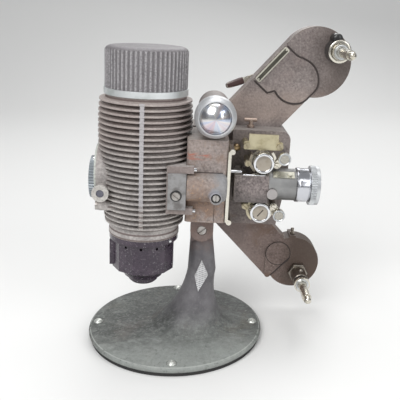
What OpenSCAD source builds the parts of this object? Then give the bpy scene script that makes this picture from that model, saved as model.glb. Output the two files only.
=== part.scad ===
/* [Base] */
// Diameter of the round base
base_d = 160; // [150:1:180]
// Height of the base's upright rim
rim_h = 5; // [4:0.5:8]
// Rise of the base's top from rim to middle
base_rise = 3; // [2:0.5:6]
// Thickness of the rubber ring under the base
ring_h = 3; // [2:0.5:5]
// Width of the rubber ring
ring_w = 14; // [10:1:20]
// Diameter of the circle of rivets
rivet_pcd = 144; // [136:1:146]
// Diameter of a rivet's domed head
rivet_d = 8.6; // [6:0.2:9]
/* [Column] */
// Place of the column to the right of the base's centre
column_x = 25; // [15:1:30]
// Place of the column behind the base's centre
column_y = 2; // [0:0.5:4]
// Diameter of the column under the pivot
column_top_d = 20; // [18:0.5:22]
// Diameter of the column just above its flare
column_low_d = 25.6; // [22:0.2:30]
// How far the column's flare spreads into the base
flare_r = 35; // [24:1:38]
// Height of the tilt pivot above the table
pivot_z = 105; // [95:1:115]
// Width of the column's top between the two ears
tongue_w = 22; // [20:0.5:23]
// Diameter of the pivot bolt
pivot_d = 6; // [5:0.5:8]
/* [Head] */
// Nose-down tilt of the head as it stands
head_tilt = 2.5; // [0:0.5:5]
// Place of the film's middle in front of the base's centre
film_y = -9; // [-11:0.5:-7]
// Height of the optical axis when the head is level
opt_z = 148; // [146:0.5:150]
// Diameter of the light's way through the head
beam_d = 28; // [20:1:30]
/* [Lamphouse] */
// Distance from the pivot to the lamphouse's axis
lamp_reach = 50.8; // [50.5:0.1:56]
// Number of cooling fins
fin_count = 24; // [16:1:24]
// Height from fin to fin
fin_pitch = 4.5; // [4.2:0.1:4.6]
// Thickness of a fin
fin_t = 1.7; // [1.2:0.1:2.2]
// Depth of a fin
fin_depth = 4.6; // [3.5:0.1:5]
// Largest diameter over the fins
fin_d = 78.8; // [76:0.2:80]
// How much smaller the lowest fin's radius is
belly = 5.4; // [3:0.2:7]
// Thickness of the lamphouse wall
lamp_wall = 2.4; // [2:0.1:3]
// Diameter of the fluted cap
cap_d = 68; // [67:0.5:72]
// Height of the fluted cap
cap_h = 33; // [28:0.5:40]
// Number of flutes round the cap
flute_count = 54; // [36:2:60]
// Height of the bright band under the cap
band_h = 5; // [3:0.5:8]
// Diameter of the reflector knob
reflector_knob_d = 36; // [30:1:38]
// Thickness of the reflector knob
reflector_knob_t = 5; // [4:0.5:7]
/* [Lamp base] */
// Diameter of the collar of the lamp base
collar_d = 60; // [56:0.5:62]
// Diameter across the corners of the faceted body
lamp_base_d = 55; // [48:0.5:55]
// Height of the faceted body
lamp_base_h = 27; // [20:0.5:32]
// Height of the stepped bottom
lamp_bottom_h = 15; // [10:0.5:18]
// Diameter of the lamp's glass
bulb_d = 28; // [22:1:30]
/* [Condenser block] */
// Width of the block
block_w = 33.4; // [32:0.2:34]
// Depth of the block from front to back
block_d = 55; // [52:0.5:56]
// Height of the block
block_h = 69.5; // [64:0.5:72]
// Radius of the half-round condenser cover
cover_r = 12; // [10:0.5:13]
// Diameter of the pilot lamp's dome
dome_d = 31.6; // [28:0.2:33]
// Diameter of the pilot lamp's tube
pilot_d = 27; // [22:0.5:28]
/* [Gear case] */
// Height of the gear case
case_h = 85.5; // [84:0.5:90]
// Distance from the pivot to the case's right side
case_reach = 74; // [70:0.5:80]
// Wall of the gear case
case_wall = 3.5; // [3:0.25:4]
// Depth from the case's front to the back of its cover
case_d = 42; // [41:0.5:46]
// Thickness of the back cover
back_t = 3; // [2:0.5:4]
/* [Film path] */
// Module of the drive gears, which sets every gear's size and place
gear_module = 0.9; // [0.86:0.01:0.92]
// Diameter of a sprocket's bright front rim
sprocket_d = 17.2; // [16:0.2:17.6]
// Diameter of a sprocket's drum
drum_d = 14.6; // [12:0.2:15.4]
// Number of teeth on a sprocket
sprocket_teeth = 16; // [12:1:20]
// Width of the film
film_w = 8; // [8:0.5:9.5]
// Diameter of the keeper knobs
keeper_knob_d = 10.6; // [8:0.2:11.5]
/* [Gate and lens] */
// Height of the gate casting
gate_h = 23.4; // [21:0.2:24]
// Diameter of the lens jacket
jacket_d = 27.2; // [26:0.2:27.4]
// Length of the lens jacket
jacket_l = 24; // [22:0.5:27]
// Diameter of the lens tube inside the jacket
lens_d = 22.8; // [20:0.2:23.4]
// Diameter of the focus ring
focus_d = 34; // [31:0.5:37]
// Width of the focus ring
focus_w = 7.5; // [6:0.5:9]
// Diameter of the gate's release button
button_d = 9; // [7:0.5:10]
/* [Arms] */
// Thickness of the reel arms
arm_t = 18; // [14:0.5:19]
// Slope of the upper arm
upper_slope = 49; // [47:0.5:51]
// Radius of the upper arm's round end
upper_end_r = 30.5; // [29:0.5:32]
// Width of the upper arm
upper_w = 48; // [44:0.5:50]
// Radius of the lower arm's round end
lower_end_r = 25; // [24:0.5:26]
// Width of the lower arm
lower_w = 38.6; // [36:0.2:42]
// Diameter of the reel spindles
spindle_d = 7.94; // [7:0.02:8.5]
// Length of a spindle that takes the reel
spindle_l = 35; // [31:0.5:38]
// Diameter of the spindle's flange
flange_d = 14.4; // [12.6:0.2:16]
/* [Motor] */
// Diameter of the motor
motor_d = 52; // [46:1:54]
// Length of the motor's can
motor_l = 40; // [36:1:50]

/* [Hidden] */
$fn = 64;

// Clearances: between moving faces, round running fits, and pieces that seat in one another
gap = 0.3;
fit = 0.05;
seat = 0.02;
// Length by which a cut runs past the face it opens
past = 1;

base_r = base_d / 2;
rim_z = ring_h + rim_h;
dish_z = rim_z + base_rise;
dish_r = (base_r * base_r + base_rise * base_rise) / (2 * base_rise);
rim_edge_r = min(2, rim_h / 2 - 0.2);
rivet_h = 2.7;
rivet_shank_d = 3.2;
rivet_z = dish_at(rivet_pcd / 2) - 0.4;
flare_z = dish_at(column_x + column_low_d / 2 + flare_r) - 0.4;
flare_top = pivot_z - 43;
flare_lean = 0.2;
ear_r = column_top_d / 2;
tongue_y0 = column_y - tongue_w / 2;
tongue_y1 = column_y + tongue_w / 2;
front_ear_t = 7.2;
bolt_head_d = 7.8;
bolt_head_t = 3;

// Planes from front to back
case_y0 = film_y + 17;
case_y1 = case_y0 + case_d;
cover_y = case_y1 - back_t;
step_y = case_y0 + 10;
arm_y1 = cover_y;
arm_y0 = arm_y1 - arm_t;

block_x0 = column_x - 15.2;
block_x1 = block_x0 + block_w;
block_y1 = step_y;
block_y0 = block_y1 - block_d;
block_z0 = pivot_z + ear_r + 5;
block_z1 = block_z0 + block_h;
block_edge_r = 3;

lamp_x = column_x - lamp_reach;
lamp_z1 = opt_z + 72.8;
lamp_z0 = opt_z - 47;
fin_z1 = lamp_z1 - 4.3;
fin_z0 = fin_z1 - (fin_count - 1) * fin_pitch;
wide_z = opt_z + 47;
shoulder = 1.6;
lamp_mouth_d = 48;
band_d = cap_d + 1.4;
neck_r = band_d / 2 - 1.5;
cap_z0 = lamp_z1 + band_h;
flute_depth = 1.3;
crown_h = 6;
shell_t = 3;

// The lamphouse's flange, boss and small fittings
pad_x0 = lamp_x + 20.2;
pad_x1 = block_x0 - 0.2;
pad_y0 = block_y0 - 7.5;
pad_z0 = opt_z - 19.3;
pad_z1 = opt_z + 20.4;
plate_t = 2.5;
plate_x0 = pad_x0 + 1.2;
plate_x1 = plate_x0 + 14.7;
plate_z0 = opt_z - 14.9;
plate_z1 = opt_z + 15.2;
lug_x1 = block_x0 + 6.4;
lug_h = 5.3;
pin_d = 3.8;
pin_x1 = lug_x1 + 2.2;
pin_y = (pad_y0 + block_y0) / 2;
boss_x = lamp_x - fin_d / 2 - 0.8;
boss_r = 23;
boss_z = opt_z + 6;
knob_shaft_d = 5;
window_out = fin_d / 2 + 5;
window_turn = 40.5;
window_x = lamp_x - window_out * cos(window_turn);
window_z = opt_z - 5.8;
window_d = 14;
window_glass_d = 6.6;
window_y = film_y - window_out * sin(window_turn);
stop_y = film_y - 20;
stop_z = opt_z - 19.3;
stop_r = 4.2;
stop_x = boss_x + 4;

collar_h = 5;
lamp_base_z1 = lamp_z0 - collar_h;
lamp_base_z0 = lamp_base_z1 - lamp_base_h;
lamp_bottom_z = lamp_base_z0 - lamp_bottom_h;
socket_d = 28;
socket_z0 = lamp_base_z0 + 4;
bulb_z0 = lamp_z0 + 3;
bulb_z1 = opt_z + 32;

cover_x0 = plate_x1 + 0.4;
cover_x1 = block_x1 + 0.2;
cover_z = opt_z + 2.5;
cover_edge_r = 5;
boss_screw_x = cover_x1 - 8.9;
boss_screw_z = opt_z - 3;
boss_screw_y = block_y0 - cover_r - 1.3;

pilot_x = column_x + 6.2;
pilot_z = block_z1 + dome_d / 2 + 3;
pilot_y0 = block_y0 + 4;
pilot_y1 = step_y + 2;

idler_z = opt_z - 1;
case_x0 = block_x0 + 0.2;
case_x1 = column_x + case_reach;
case_z0 = idler_z + 0.75 - case_h / 2;
case_z1 = case_z0 + case_h;
case_front_x = block_x1 + 5.4;
case_taper = 7;
case_corner_r = 8;

// Gear train: teeth of the wheels, and the centres that follow from the module
pinion_teeth = 12;
wheel_teeth = 24;
shutter_teeth = 40;
wheel_r = gear_module * wheel_teeth / 2;
pinion_r = gear_module * pinion_teeth / 2;
shutter_r = gear_module * shutter_teeth / 2;
idler_x = column_x + 48.8;
motor_x = idler_x - wheel_r - pinion_r;
shutter_x = motor_x - pinion_r - shutter_r;
upper_z = idler_z + 2 * wheel_r;
lower_z = idler_z - 2 * wheel_r;
gear_y0 = step_y + 6;
gear_t = 4;
shaft_d = 5;
shutter_d = 14;
shutter_shaft_d = 4;
shutter_y0 = film_y - 13;
shutter_y1 = film_y + 13;
shutter_nose = 5;

sprocket_y0 = film_y - 14;
sprocket_cap_t = 4;
drum_y0 = film_y - film_w / 2;
drum_y1 = film_y + film_w / 2;
sprocket_rim_t = 1.6;
shoe_r0 = sprocket_d / 2 + 0.7;
shoe_t = 2.3;
shoe_y0 = drum_y0 - 1;
shoe_y1 = drum_y1 + 1;
shoe_post_d = 6;
upper_shoe = [idler_x - shoe_r0 - 3.2, upper_z - 2.2];
lower_shoe = [idler_x - shoe_r0 - 3.1, lower_z + 2.9];

keeper_x = idler_x + 11.7;
upper_keeper_z = upper_z - 2.4;
lower_keeper_z = lower_z + 4.2;
upper_knob = [idler_x + 17.1, upper_z + 4.1];
lower_knob = [idler_x + 16.2, lower_z - 2.2];
keeper_post_d = 4;
keeper_hub_d = 6;
keeper_y0 = film_y - 8;
keeper_arm_t = 2;
knob_t = 5;

guard_x0 = idler_x - 16.8;
guard_x1 = idler_x + 16.2;
guard_z0 = upper_z + sprocket_d / 2 + 0.6;
guard_z1 = case_z1 + 0.5;
guard_y0 = film_y - 3;
guard_t = 2;
guard_post_d = 5.2;
guard_post_z = guard_z0 + 3.4;

// Gate, its rods, the jacket and the lens
gate_x0 = block_x1 + 7.1;
gate_x1 = gate_x0 + 28.7;
gate_z0 = lower_z + sprocket_d / 2 + 0.4;
gate_z1 = gate_z0 + gate_h;
gate_y0 = film_y - jacket_d / 2;
gate_y1 = film_y + 9;
gate_travel = 6;
gate_beam_d = 14;
tail_x0 = gate_x0 + 7.7;
tail_x1 = tail_x0 + 26;
rod_d = 4;
rod_y = (gate_y1 + case_y0) / 2;
rod_zs = [opt_z - 7, opt_z + 7];
ear_l = 5;
ear_h = 8;
rod_x0 = tail_x0 - 1.5 - ear_l;
rod_x1 = tail_x1 - 1;
jacket_x1 = gate_x1 + jacket_l;
lens_x0 = gate_x1 + 9;
lens_nose_d = 26;
lens_front_d = 28.6;
lens_front_l = 11.5;
lens_front_x = jacket_x1 + gap;
focus_x0 = lens_front_x + lens_front_l + gap;
focus_x1 = focus_x0 + focus_w;
glass_d = 19;
button_x = gate_x1 + 3.3;
button_z = opt_z - 4.8;
button_travel = 1.5;
button_y0 = gate_y0 - 3;
button_y1 = film_y - gate_beam_d / 2 - 2 - button_travel;
spring_l = 18;
spring_w = 6.5;
spring_t = 1.2;
spring_angle = 40;
spring_r = jacket_d / 2 - 0.7;

strip_t = 2.6;
strip_z0 = opt_z - 27.5;
strip_z1 = opt_z + 32.5;
strip_curl_r = 2.3;
strip_y1 = film_y + 12;

// Arms and spindles
upper_end = [column_x + 93.5, case_z1 + 57.8];
feed = [upper_end[0] + 15.9, upper_end[1] + 11.1];
lower_slope = -46;
lower_end = [column_x + 89, case_z0 - 44.8];
takeup = [lower_end[0] + 5.8, lower_end[1] - 9.7];
lower_left = 28.8;
arm_reach = 1.4 * case_x1;
// The arm's straight edge runs this far inside its round end
tuck = 0.15;
cover_plate_t = 0.8;
lobe_r = 20;
lobe_along = -23.2;
lobe_side = 1.5;
panel_along = [-47.8, -7.4];
disc_r = 11.6;
disc = [lower_end[0] - 14.3, lower_end[1] + 8.3];
heel = [lower_end[0] - 23, lower_end[1] - 13.7];
oiler_x = lower_end[0] - 1.5;
oiler_z = lower_end[1] + lower_end_r + 1.8;
feed_bearing_d = 19.6;
takeup_bearing_d = 13.6;
feed_boss_r = feed_bearing_d / 2 + 0.2;
spindle_y0 = film_y - 20;
flange_y0 = spindle_y0 + spindle_l;
flange_t = 3;
hub_d = 11.6;
hub_l = 3;
takeup_forward = 8;
bearing_y0 = flange_y0 + flange_t + hub_l + gap;
spindle_depth = 13;
tip_d = 6.4;
tip_l = 7;
lever_pivot = [upper_end[0] - 38.5, upper_end[1] - 11.5];
lever_tip = [upper_end[0] - 73.7, upper_end[1] - 24.9];
lever_t = 3;
lever_w = 5;
lever_pin_d = 5;
switch_x = column_x + 39.6;
switch_y = case_y0 + 12;
switch_pin_d = 3.6;

motor_r = motor_d / 2;
motor_wall = 2.5;
motor_y1 = case_y1 + motor_l;
bell_l = 11;
field_bore_d = 31.4;
armature_d = 30;
armature_y0 = case_y1 + 7;
armature_l = 24;
fan_d = 40;
fan_t = 5;
fan_y0 = motor_y1 - 6;
inlet_x = motor_x - 29.6;
inlet_z = idler_z - 25;
inlet_d = 22;
inlet_l = 10;

function dish_at(r) = dish_z - dish_r + sqrt(dish_r * dish_r - r * r);
// Radius over the fins: widest at wide_z, drawn in a little above it and more below it
function fin_at(z) = fin_d / 2 - (z > wide_z
  ? shoulder * pow((z - wide_z) / (lamp_z1 - wide_z), 2)
  : belly * pow((wide_z - z) / (wide_z - fin_z0), 2));
function core_at(z) = fin_at(z) - fin_depth;

// The head's pieces are drawn level and then tilted together about the pivot
module head() {
  translate([column_x, 0, pivot_z]) rotate([0, head_tilt, 0]) translate([-column_x, 0, -pivot_z]) children();
}
// A flat outline drawn in X and Z, standing from y0 to y1
module slab_y(y0, y1) {
  translate([0, y1, 0]) rotate([90, 0, 0]) linear_extrude(y1 - y0) children();
}
module rod_along_y(x, z, y0, y1, d) {
  translate([x, y1, z]) rotate([90, 0, 0]) cylinder(h = y1 - y0, d = d);
}
module rod_along_x(y, z, x0, x1, d) {
  translate([x0, y, z]) rotate([0, 90, 0]) cylinder(h = x1 - x0, d = d);
}
module box(x0, x1, y0, y1, z0, z1) {
  translate([x0, y0, z0]) cube([x1 - x0, y1 - y0, z1 - z0]);
}
// A rectangle with round corners, as two bars and four discs
module round_rect(x0, x1, y0, y1, r) {
  translate([x0 + r, y0]) square([x1 - x0 - 2 * r, y1 - y0]);
  translate([x0, y0 + r]) square([x1 - x0, y1 - y0 - 2 * r]);
  for (x = [x0 + r, x1 - r], y = [y0 + r, y1 - r]) translate([x, y]) circle(r);
}
// A flat bar of width w with round ends about two points
module bar(a, b, w) {
  n = w / 2 / norm(b - a) * [a[1] - b[1], b[0] - a[0]];
  polygon([a + n, b + n, b - n, a - n]);
  for (p = [a, b]) translate(p) circle(d = w);
}
// A disc with a wave of flutes round its edge
module fluted(d, count, depth) {
  steps = 4 * count;
  polygon([for (i = [0:steps - 1]) let (r = d / 2 - depth * (1 - cos(90 * i)) / 2)
    [r * cos(360 * i / steps), r * sin(360 * i / steps)]]);
}
// A spur wheel's outline: straight-sided teeth a little thinner than their gaps
module wheel(teeth, turn) {
  pitch = 360 / teeth;
  r = gear_module * teeth / 2;
  tip = r + 0.85 * gear_module;
  root = r - 1.15 * gear_module;
  polygon([for (i = [0:teeth - 1], k = [[root, -0.3], [tip, -0.11], [tip, 0.11], [root, 0.3]])
    let (a = turn + (i + k[1]) * pitch) [k[0] * cos(a), k[0] * sin(a)]]);
}
// Part of a flat ring between two angles, for shoes and keepers
module ring_part(r0, r1, a0, a1) {
  far = 3 * r1;
  intersection() {
    difference() {
      circle(r1);
      circle(r0);
    }
    polygon([[0, 0], far * [cos(a0), sin(a0)], far * [cos((a0 + a1) / 2), sin((a0 + a1) / 2)],
      far * [cos(a1), sin(a1)]]);
  }
}
// A slotted cheese head that faces the operator, with its seat at y
module slotted_head(x, y, z, d, t, turn) {
  difference() {
    rod_along_y(x, z, y - t, y, d);
    translate([x, y - t, z]) rotate([0, turn, 0]) cube([d + past, t, d / 6], center = true);
  }
}

module base_casting() {
  color([0.40, 0.39, 0.36]) difference() {
    union() {
      rotate_extrude() base_profile();
      column();
      slab_y(tongue_y0, tongue_y1) {
        translate([column_x, pivot_z]) circle(ear_r);
        translate([column_x - ear_r, pivot_z - ear_r - 2]) square([2 * ear_r, ear_r + 2]);
      }
    }
    rod_along_y(column_x, pivot_z, tongue_y0 - past, tongue_y1 + past, pivot_d + 2 * fit);
    for (a = [0:90:270]) rotate(a) translate([rivet_pcd / 2, 0, 0]) {
      translate([0, 0, rivet_z]) cylinder(h = rivet_h + past, d = rivet_d + 2 * gap);
      cylinder(h = dish_z, d = rivet_shank_d + 2 * fit);
    }
  }
}
// Half section of the base: flat below, rounded rim, top drawn along a shallow arc
module base_profile() {
  edge_r = base_r - rim_edge_r;
  polygon(concat([[0, ring_h]], [[edge_r, ring_h]],
    [for (a = [-75:15:75]) [edge_r + rim_edge_r * cos(a), ring_h + rim_h / 2 + (rim_h / 2) * sin(a)]],
    [for (i = [16:-1:0]) [edge_r * i / 16, dish_at(edge_r * i / 16)]]));
}
// The column's taper stands on a hollow flare that leans out towards the lamp, each turned in one piece
module column() {
  top_z = pivot_z - ear_r;
  translate([column_x, column_y, flare_top]) {
    cylinder(h = top_z - flare_top, d1 = column_low_d, d2 = column_top_d);
    multmatrix([[1, 0, flare_lean, 0], [0, 1, 0, 0], [0, 0, 1, 0]]) rotate_extrude() flare_outline();
  }
}
// Quarter of an ellipse from the foot of the taper out to the base
module flare_outline() {
  flare_h = flare_top - flare_z;
  polygon(concat([[0, 0], [0, -flare_h]], [for (a = [90:-6:0])
    [column_low_d / 2 + flare_r * (1 - cos(a)), -flare_h * sin(a)]]));
}
module base_ring() {
  color([0.09, 0.09, 0.09]) difference() {
    cylinder(h = ring_h, r = base_r - 1.5);
    translate([0, 0, -past]) cylinder(h = ring_h + 2 * past, r = base_r - 1.5 - ring_w);
  }
}
module base_rivets() {
  dome_r = (rivet_d * rivet_d / 4 + rivet_h * rivet_h) / (2 * rivet_h);
  color([0.80, 0.80, 0.80]) for (a = [0:90:270]) rotate(a) translate([rivet_pcd / 2, 0, 0]) {
    translate([0, 0, ring_h]) cylinder(h = rivet_z - ring_h, d = rivet_shank_d);
    intersection() {
      translate([0, 0, rivet_z]) cylinder(h = rivet_h, d = rivet_d);
      translate([0, 0, rivet_z + rivet_h - dome_r]) sphere(dome_r);
    }
  }
}
module pivot_bolt() {
  y0 = tongue_y0 - gap - front_ear_t;
  color([0.60, 0.58, 0.55]) {
    rod_along_y(column_x, pivot_z, y0 + bolt_head_t, block_y1 - 1, pivot_d);
    slotted_head(column_x, y0 + bolt_head_t, pivot_z, bolt_head_d, bolt_head_t - 0.4, -40);
  }
}
// The block that carries the head: two ears below, the light's tunnel and the shutter's bore
module condenser_block() {
  front_ear_y1 = tongue_y0 - gap;
  color([0.42, 0.36, 0.34]) difference() {
    union() {
      translate([0, 0, block_z0]) linear_extrude(block_h)
        round_rect(block_x0, block_x1, block_y0, block_y1, block_edge_r);
      slab_y(front_ear_y1 - front_ear_t, front_ear_y1) ear();
      slab_y(tongue_y1 + gap, block_y1) ear();
    }
    rod_along_y(column_x, pivot_z, front_ear_y1 - front_ear_t - past, block_y1 + past, pivot_d + 2 * seat);
    rod_along_y(column_x, pivot_z, front_ear_y1 - front_ear_t - past,
      front_ear_y1 - front_ear_t + bolt_head_t, bolt_head_d + 0.6);
    rod_along_x(film_y, opt_z, block_x0 - past, block_x1 + past, beam_d);
    rod_along_y(shutter_x, idler_z, shutter_y0 - 1, block_y1 + past, shutter_d + 1);
    rod_along_y(shutter_x, idler_z, shutter_y0 - shutter_nose - 1, block_y1, shutter_shaft_d + 2 * fit);
  }
}
module ear() {
  translate([column_x, pivot_z]) circle(ear_r);
  translate([column_x - ear_r, pivot_z]) square([2 * ear_r, block_z0 - pivot_z + block_edge_r]);
}
// Half a drum lying on the block, rounded over at its free end, with a boss for its screw
module condenser_cover() {
  length = cover_x1 - cover_x0;
  color([0.47, 0.43, 0.41]) difference() {
    union() {
      intersection() {
        translate([cover_x0, block_y0, cover_z]) rotate([0, 90, 0]) rotate_extrude() {
          square([cover_r, length - cover_edge_r]);
          square([cover_r - cover_edge_r, length]);
          translate([cover_r - cover_edge_r, length - cover_edge_r]) circle(cover_edge_r);
        }
        box(cover_x0, cover_x1 + past, block_y0 - 2 * cover_r, block_y0,
          cover_z - cover_r, cover_z + cover_r);
      }
      rod_along_y(boss_screw_x, boss_screw_z, boss_screw_y, block_y0 - 2, 10.4);
    }
    rod_along_y(boss_screw_x, boss_screw_z, boss_screw_y - past, boss_screw_y + 2.5, 8);
  }
}
// A lens on the optical axis, flat at x and domed to the right
module domed_lens(x, t, d, r) {
  translate([x, film_y, opt_z]) rotate([0, 90, 0]) rotate_extrude() intersection() {
    square([d / 2, t]);
    translate([0, t - r]) circle(r, $fn = 180);
  }
}
module condenser_lenses() {
  color([0.80, 0.90, 0.92, 0.5]) for (x = [block_x0 + 3, block_x0 + 10])
    domed_lens(x, 5, beam_d - 2 * seat, 30);
}
// Slotted heads: condenser cover, lamphouse plate, film guard, shoes, and the round-headed lock screw
module slotted_screws() {
  color([0.62, 0.58, 0.48]) {
    slotted_head(boss_screw_x, boss_screw_y + 2.5, boss_screw_z, 5.4, 2, 90);
    slotted_head(plate_x0 + 6.8, pad_y0 - plate_t, opt_z - 3, 6.8, 2, 40);
    for (x = [guard_x0 + 2.6, guard_x1 - 2.6]) slotted_head(x, guard_y0, guard_post_z, 5.6, 2.2, 60);
    slotted_head(upper_shoe[0], shoe_y0, upper_shoe[1], 5, 1.8, 75);
    slotted_head(lower_shoe[0], shoe_y0, lower_shoe[1], 5, 1.8, 45);
    rod_along_x(stop_y, stop_z, stop_x - 3, stop_x, 2 * stop_r - 0.6);
  }
}
// Barrel-shaped finned casting: one revolved outline with a tooth for each fin, two upright ribs,
// the flange that meets the block, and the boss for the reflector
module lamphouse() {
  color([0.47, 0.43, 0.40]) difference() {
    union() {
      translate([lamp_x, film_y, 0]) {
        rotate_extrude() finned_outline();
        for (a = [0, 180]) intersection() {
          rotate_extrude() fin_envelope();
          rotate(a) box(-1.65, 1.65, -fin_d, 0, fin_z0, fin_z1);
        }
      }
      box(pad_x0, pad_x1, pad_y0, film_y - 10, pad_z0, pad_z1);
      for (z = [pad_z0, pad_z1 - lug_h]) box(pad_x1 - past, lug_x1, pad_y0, block_y0 - gap, z, z + lug_h);
      rod_along_x(film_y, boss_z, boss_x, lamp_x - 20, 2 * boss_r);
      rod_along_y(window_x, window_z, window_y, film_y - 10, window_d - 2);
      rod_along_x(stop_y, stop_z, stop_x, lamp_x - 15, 2 * stop_r);
    }
    translate([lamp_x, film_y, 0]) rotate_extrude() lamp_room();
    translate([lamp_x, film_y, lamp_z0 - past]) cylinder(h = 6, d = lamp_mouth_d);
    rod_along_x(film_y, opt_z, boss_x - past, lamp_x, knob_shaft_d + 2 * fit);
    rod_along_x(film_y, opt_z, lamp_x, pad_x1 + past, beam_d);
    box(pad_x1, lamp_x + fin_d, block_y0 - gap, case_y1, block_z0 - gap, case_z1 + gap);
    for (z = [pad_z0, pad_z1 - lug_h])
      rod_along_x(pin_y, z + lug_h / 2, pad_x1 - 6, lug_x1 + past, pin_d + 2 * seat);
  }
}
module finned_outline() {
  polygon(concat([[0, lamp_z0], [collar_d / 2 + 0.5, lamp_z0], [collar_d / 2 + 0.5, lamp_z0 + 3]],
    [for (i = [fin_count - 1:-1:0], k = [[0, -0.65], [1, -0.4], [1, 0.4], [0, 0.65]])
      let (z = fin_z1 - i * fin_pitch + k[1] * fin_t) [k[0] == 0 ? core_at(z) : fin_at(z), z]],
    [[neck_r, lamp_z1 - 1.5], [neck_r, lamp_z1], [0, lamp_z1]]));
}
module fin_envelope() {
  step = (fin_z1 - fin_z0) / 8;
  polygon(concat([[lamp_mouth_d / 2, fin_z0]],
    [for (i = [0:8]) let (z = fin_z0 + i * step) [fin_at(z) - 0.2, z]], [[lamp_mouth_d / 2, fin_z1]]));
}
// The space inside the lamphouse, one wall in from the fins' roots and, at its top, from the neck
module lamp_room() {
  low_z = lamp_z0 + 5;
  step = (lamp_z1 - low_z) / 6;
  top_r = min(core_at(lamp_z1), neck_r) - lamp_wall;
  polygon(concat([[0, low_z]], [for (i = [0:5]) let (z = low_z + i * step) [core_at(z) - lamp_wall, z]],
    [[top_r, lamp_z1 + past], [0, lamp_z1 + past]]));
}
module lamphouse_plate() {
  color([0.50, 0.50, 0.49]) box(plate_x0, plate_x1, pad_y0 - plate_t, pad_y0, plate_z0, plate_z1);
}
module lamphouse_pins() {
  color([0.85, 0.84, 0.80]) for (z = [pad_z0, pad_z1 - lug_h])
    rod_along_x(pin_y, z + lug_h / 2, pad_x1 - 5, pin_x1, pin_d);
}
module cap_band() {
  color([0.75, 0.76, 0.72]) translate([lamp_x, film_y, lamp_z1]) difference() {
    cylinder(h = band_h, d = band_d);
    translate([0, 0, -past]) cylinder(h = band_h + 2 * past, d = cap_d - 2 * shell_t);
  }
}
module lamphouse_cap() {
  crown_r = cap_d / 2 + 0.5;
  color([0.42, 0.40, 0.41]) translate([lamp_x, film_y, cap_z0]) difference() {
    intersection() {
      linear_extrude(cap_h) fluted(cap_d, flute_count, flute_depth);
      rotate_extrude() {
        square([crown_r - crown_h, cap_h]);
        square([crown_r, cap_h - crown_h]);
        intersection() {
          translate([crown_r - crown_h, cap_h - crown_h]) circle(crown_h);
          translate([0, cap_h - crown_h]) square([crown_r, crown_h]);
        }
      }
    }
    translate([0, 0, -past]) cylinder(h = cap_h - crown_h + past, d = cap_d - 2 * shell_t);
  }
}
// Dark moulded cap that holds the lamp's socket: collar, twelve flat sides, stepped bottom, side lug
module lamp_base_cap() {
  room_d = lamp_mouth_d - 2;
  color([0.10, 0.10, 0.14]) difference() {
    union() {
      translate([lamp_x, film_y, 0]) {
        translate([0, 0, lamp_base_z1]) cylinder(h = collar_h, d = collar_d);
        translate([0, 0, lamp_base_z0]) rotate(15) cylinder(h = lamp_base_h, d = lamp_base_d, $fn = 12);
        translate([0, 0, lamp_bottom_z]) rotate_extrude() polygon([[0, 0], [11, 0], [13, 2], [13, 5],
          [17, 6.5], [18, lamp_bottom_h - 6], [lamp_base_d / 2 - 3, lamp_bottom_h], [0, lamp_bottom_h]]);
      }
      box(lamp_x - lamp_base_d / 2 - 1.5, lamp_x - lamp_base_d / 2 + 5, film_y - 9, film_y - 1,
        lamp_base_z0 + 2, lamp_base_z1 - 2);
    }
    translate([lamp_x, film_y, socket_z0]) cylinder(h = lamp_z0, d = room_d);
    for (a = [0:30:330]) translate([lamp_x, film_y, lamp_base_z1 - 3.5]) rotate([0, 90, a])
      cylinder(h = lamp_base_d, d = 2.4);
  }
}
module lamp_socket() {
  color([0.70, 0.62, 0.40]) translate([lamp_x, film_y, socket_z0]) {
    cylinder(h = 4, d = lamp_mouth_d - 2 - 2 * gap);
    cylinder(h = bulb_z0 - socket_z0, d = socket_d);
  }
}
module lamp_bulb() {
  color([0.90, 0.92, 0.95, 0.4]) translate([lamp_x, film_y, bulb_z0]) rotate_extrude() {
    square([bulb_d / 2, bulb_z1 - bulb_z0 - bulb_d / 2]);
    intersection() {
      translate([0, bulb_z1 - bulb_z0 - bulb_d / 2]) circle(d = bulb_d);
      square([bulb_d, bulb_z1 - bulb_z0]);
    }
  }
}
// Round mirror behind the lamp, part of a sphere about the filament, on the knob's shaft
module reflector() {
  mirror_r = core_at(opt_z) - lamp_wall - 4;
  color([0.90, 0.90, 0.88]) difference() {
    intersection() {
      translate([lamp_x, film_y, opt_z]) sphere(mirror_r);
      rod_along_x(film_y, opt_z, lamp_x - 2 * mirror_r, lamp_x - bulb_d / 2 - 1, 32);
    }
    translate([lamp_x, film_y, opt_z]) sphere(mirror_r - 2);
    rod_along_x(film_y, opt_z, lamp_x - 2 * mirror_r, lamp_x, knob_shaft_d + 2 * seat);
  }
}
module reflector_knob() {
  mirror_r = core_at(opt_z) - lamp_wall - 4;
  color([0.58, 0.57, 0.56]) {
    translate([boss_x - gap - reflector_knob_t, film_y, opt_z]) rotate([0, 90, 0])
      linear_extrude(reflector_knob_t) fluted(reflector_knob_d, 45, 1.2);
    rod_along_x(film_y, opt_z, boss_x - gap - reflector_knob_t, lamp_x - mirror_r + 1, knob_shaft_d);
  }
}
module window_bezel() {
  color([0.62, 0.60, 0.54]) difference() {
    rod_along_y(window_x, window_z, window_y - 3, window_y, window_d);
    rod_along_y(window_x, window_z, window_y - 3 - past, window_y + past, window_glass_d);
  }
}
module window_glass() {
  color([0.45, 0.48, 0.56])
    rod_along_y(window_x, window_z, window_y - 2, window_y, window_glass_d - 2 * seat);
}
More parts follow.
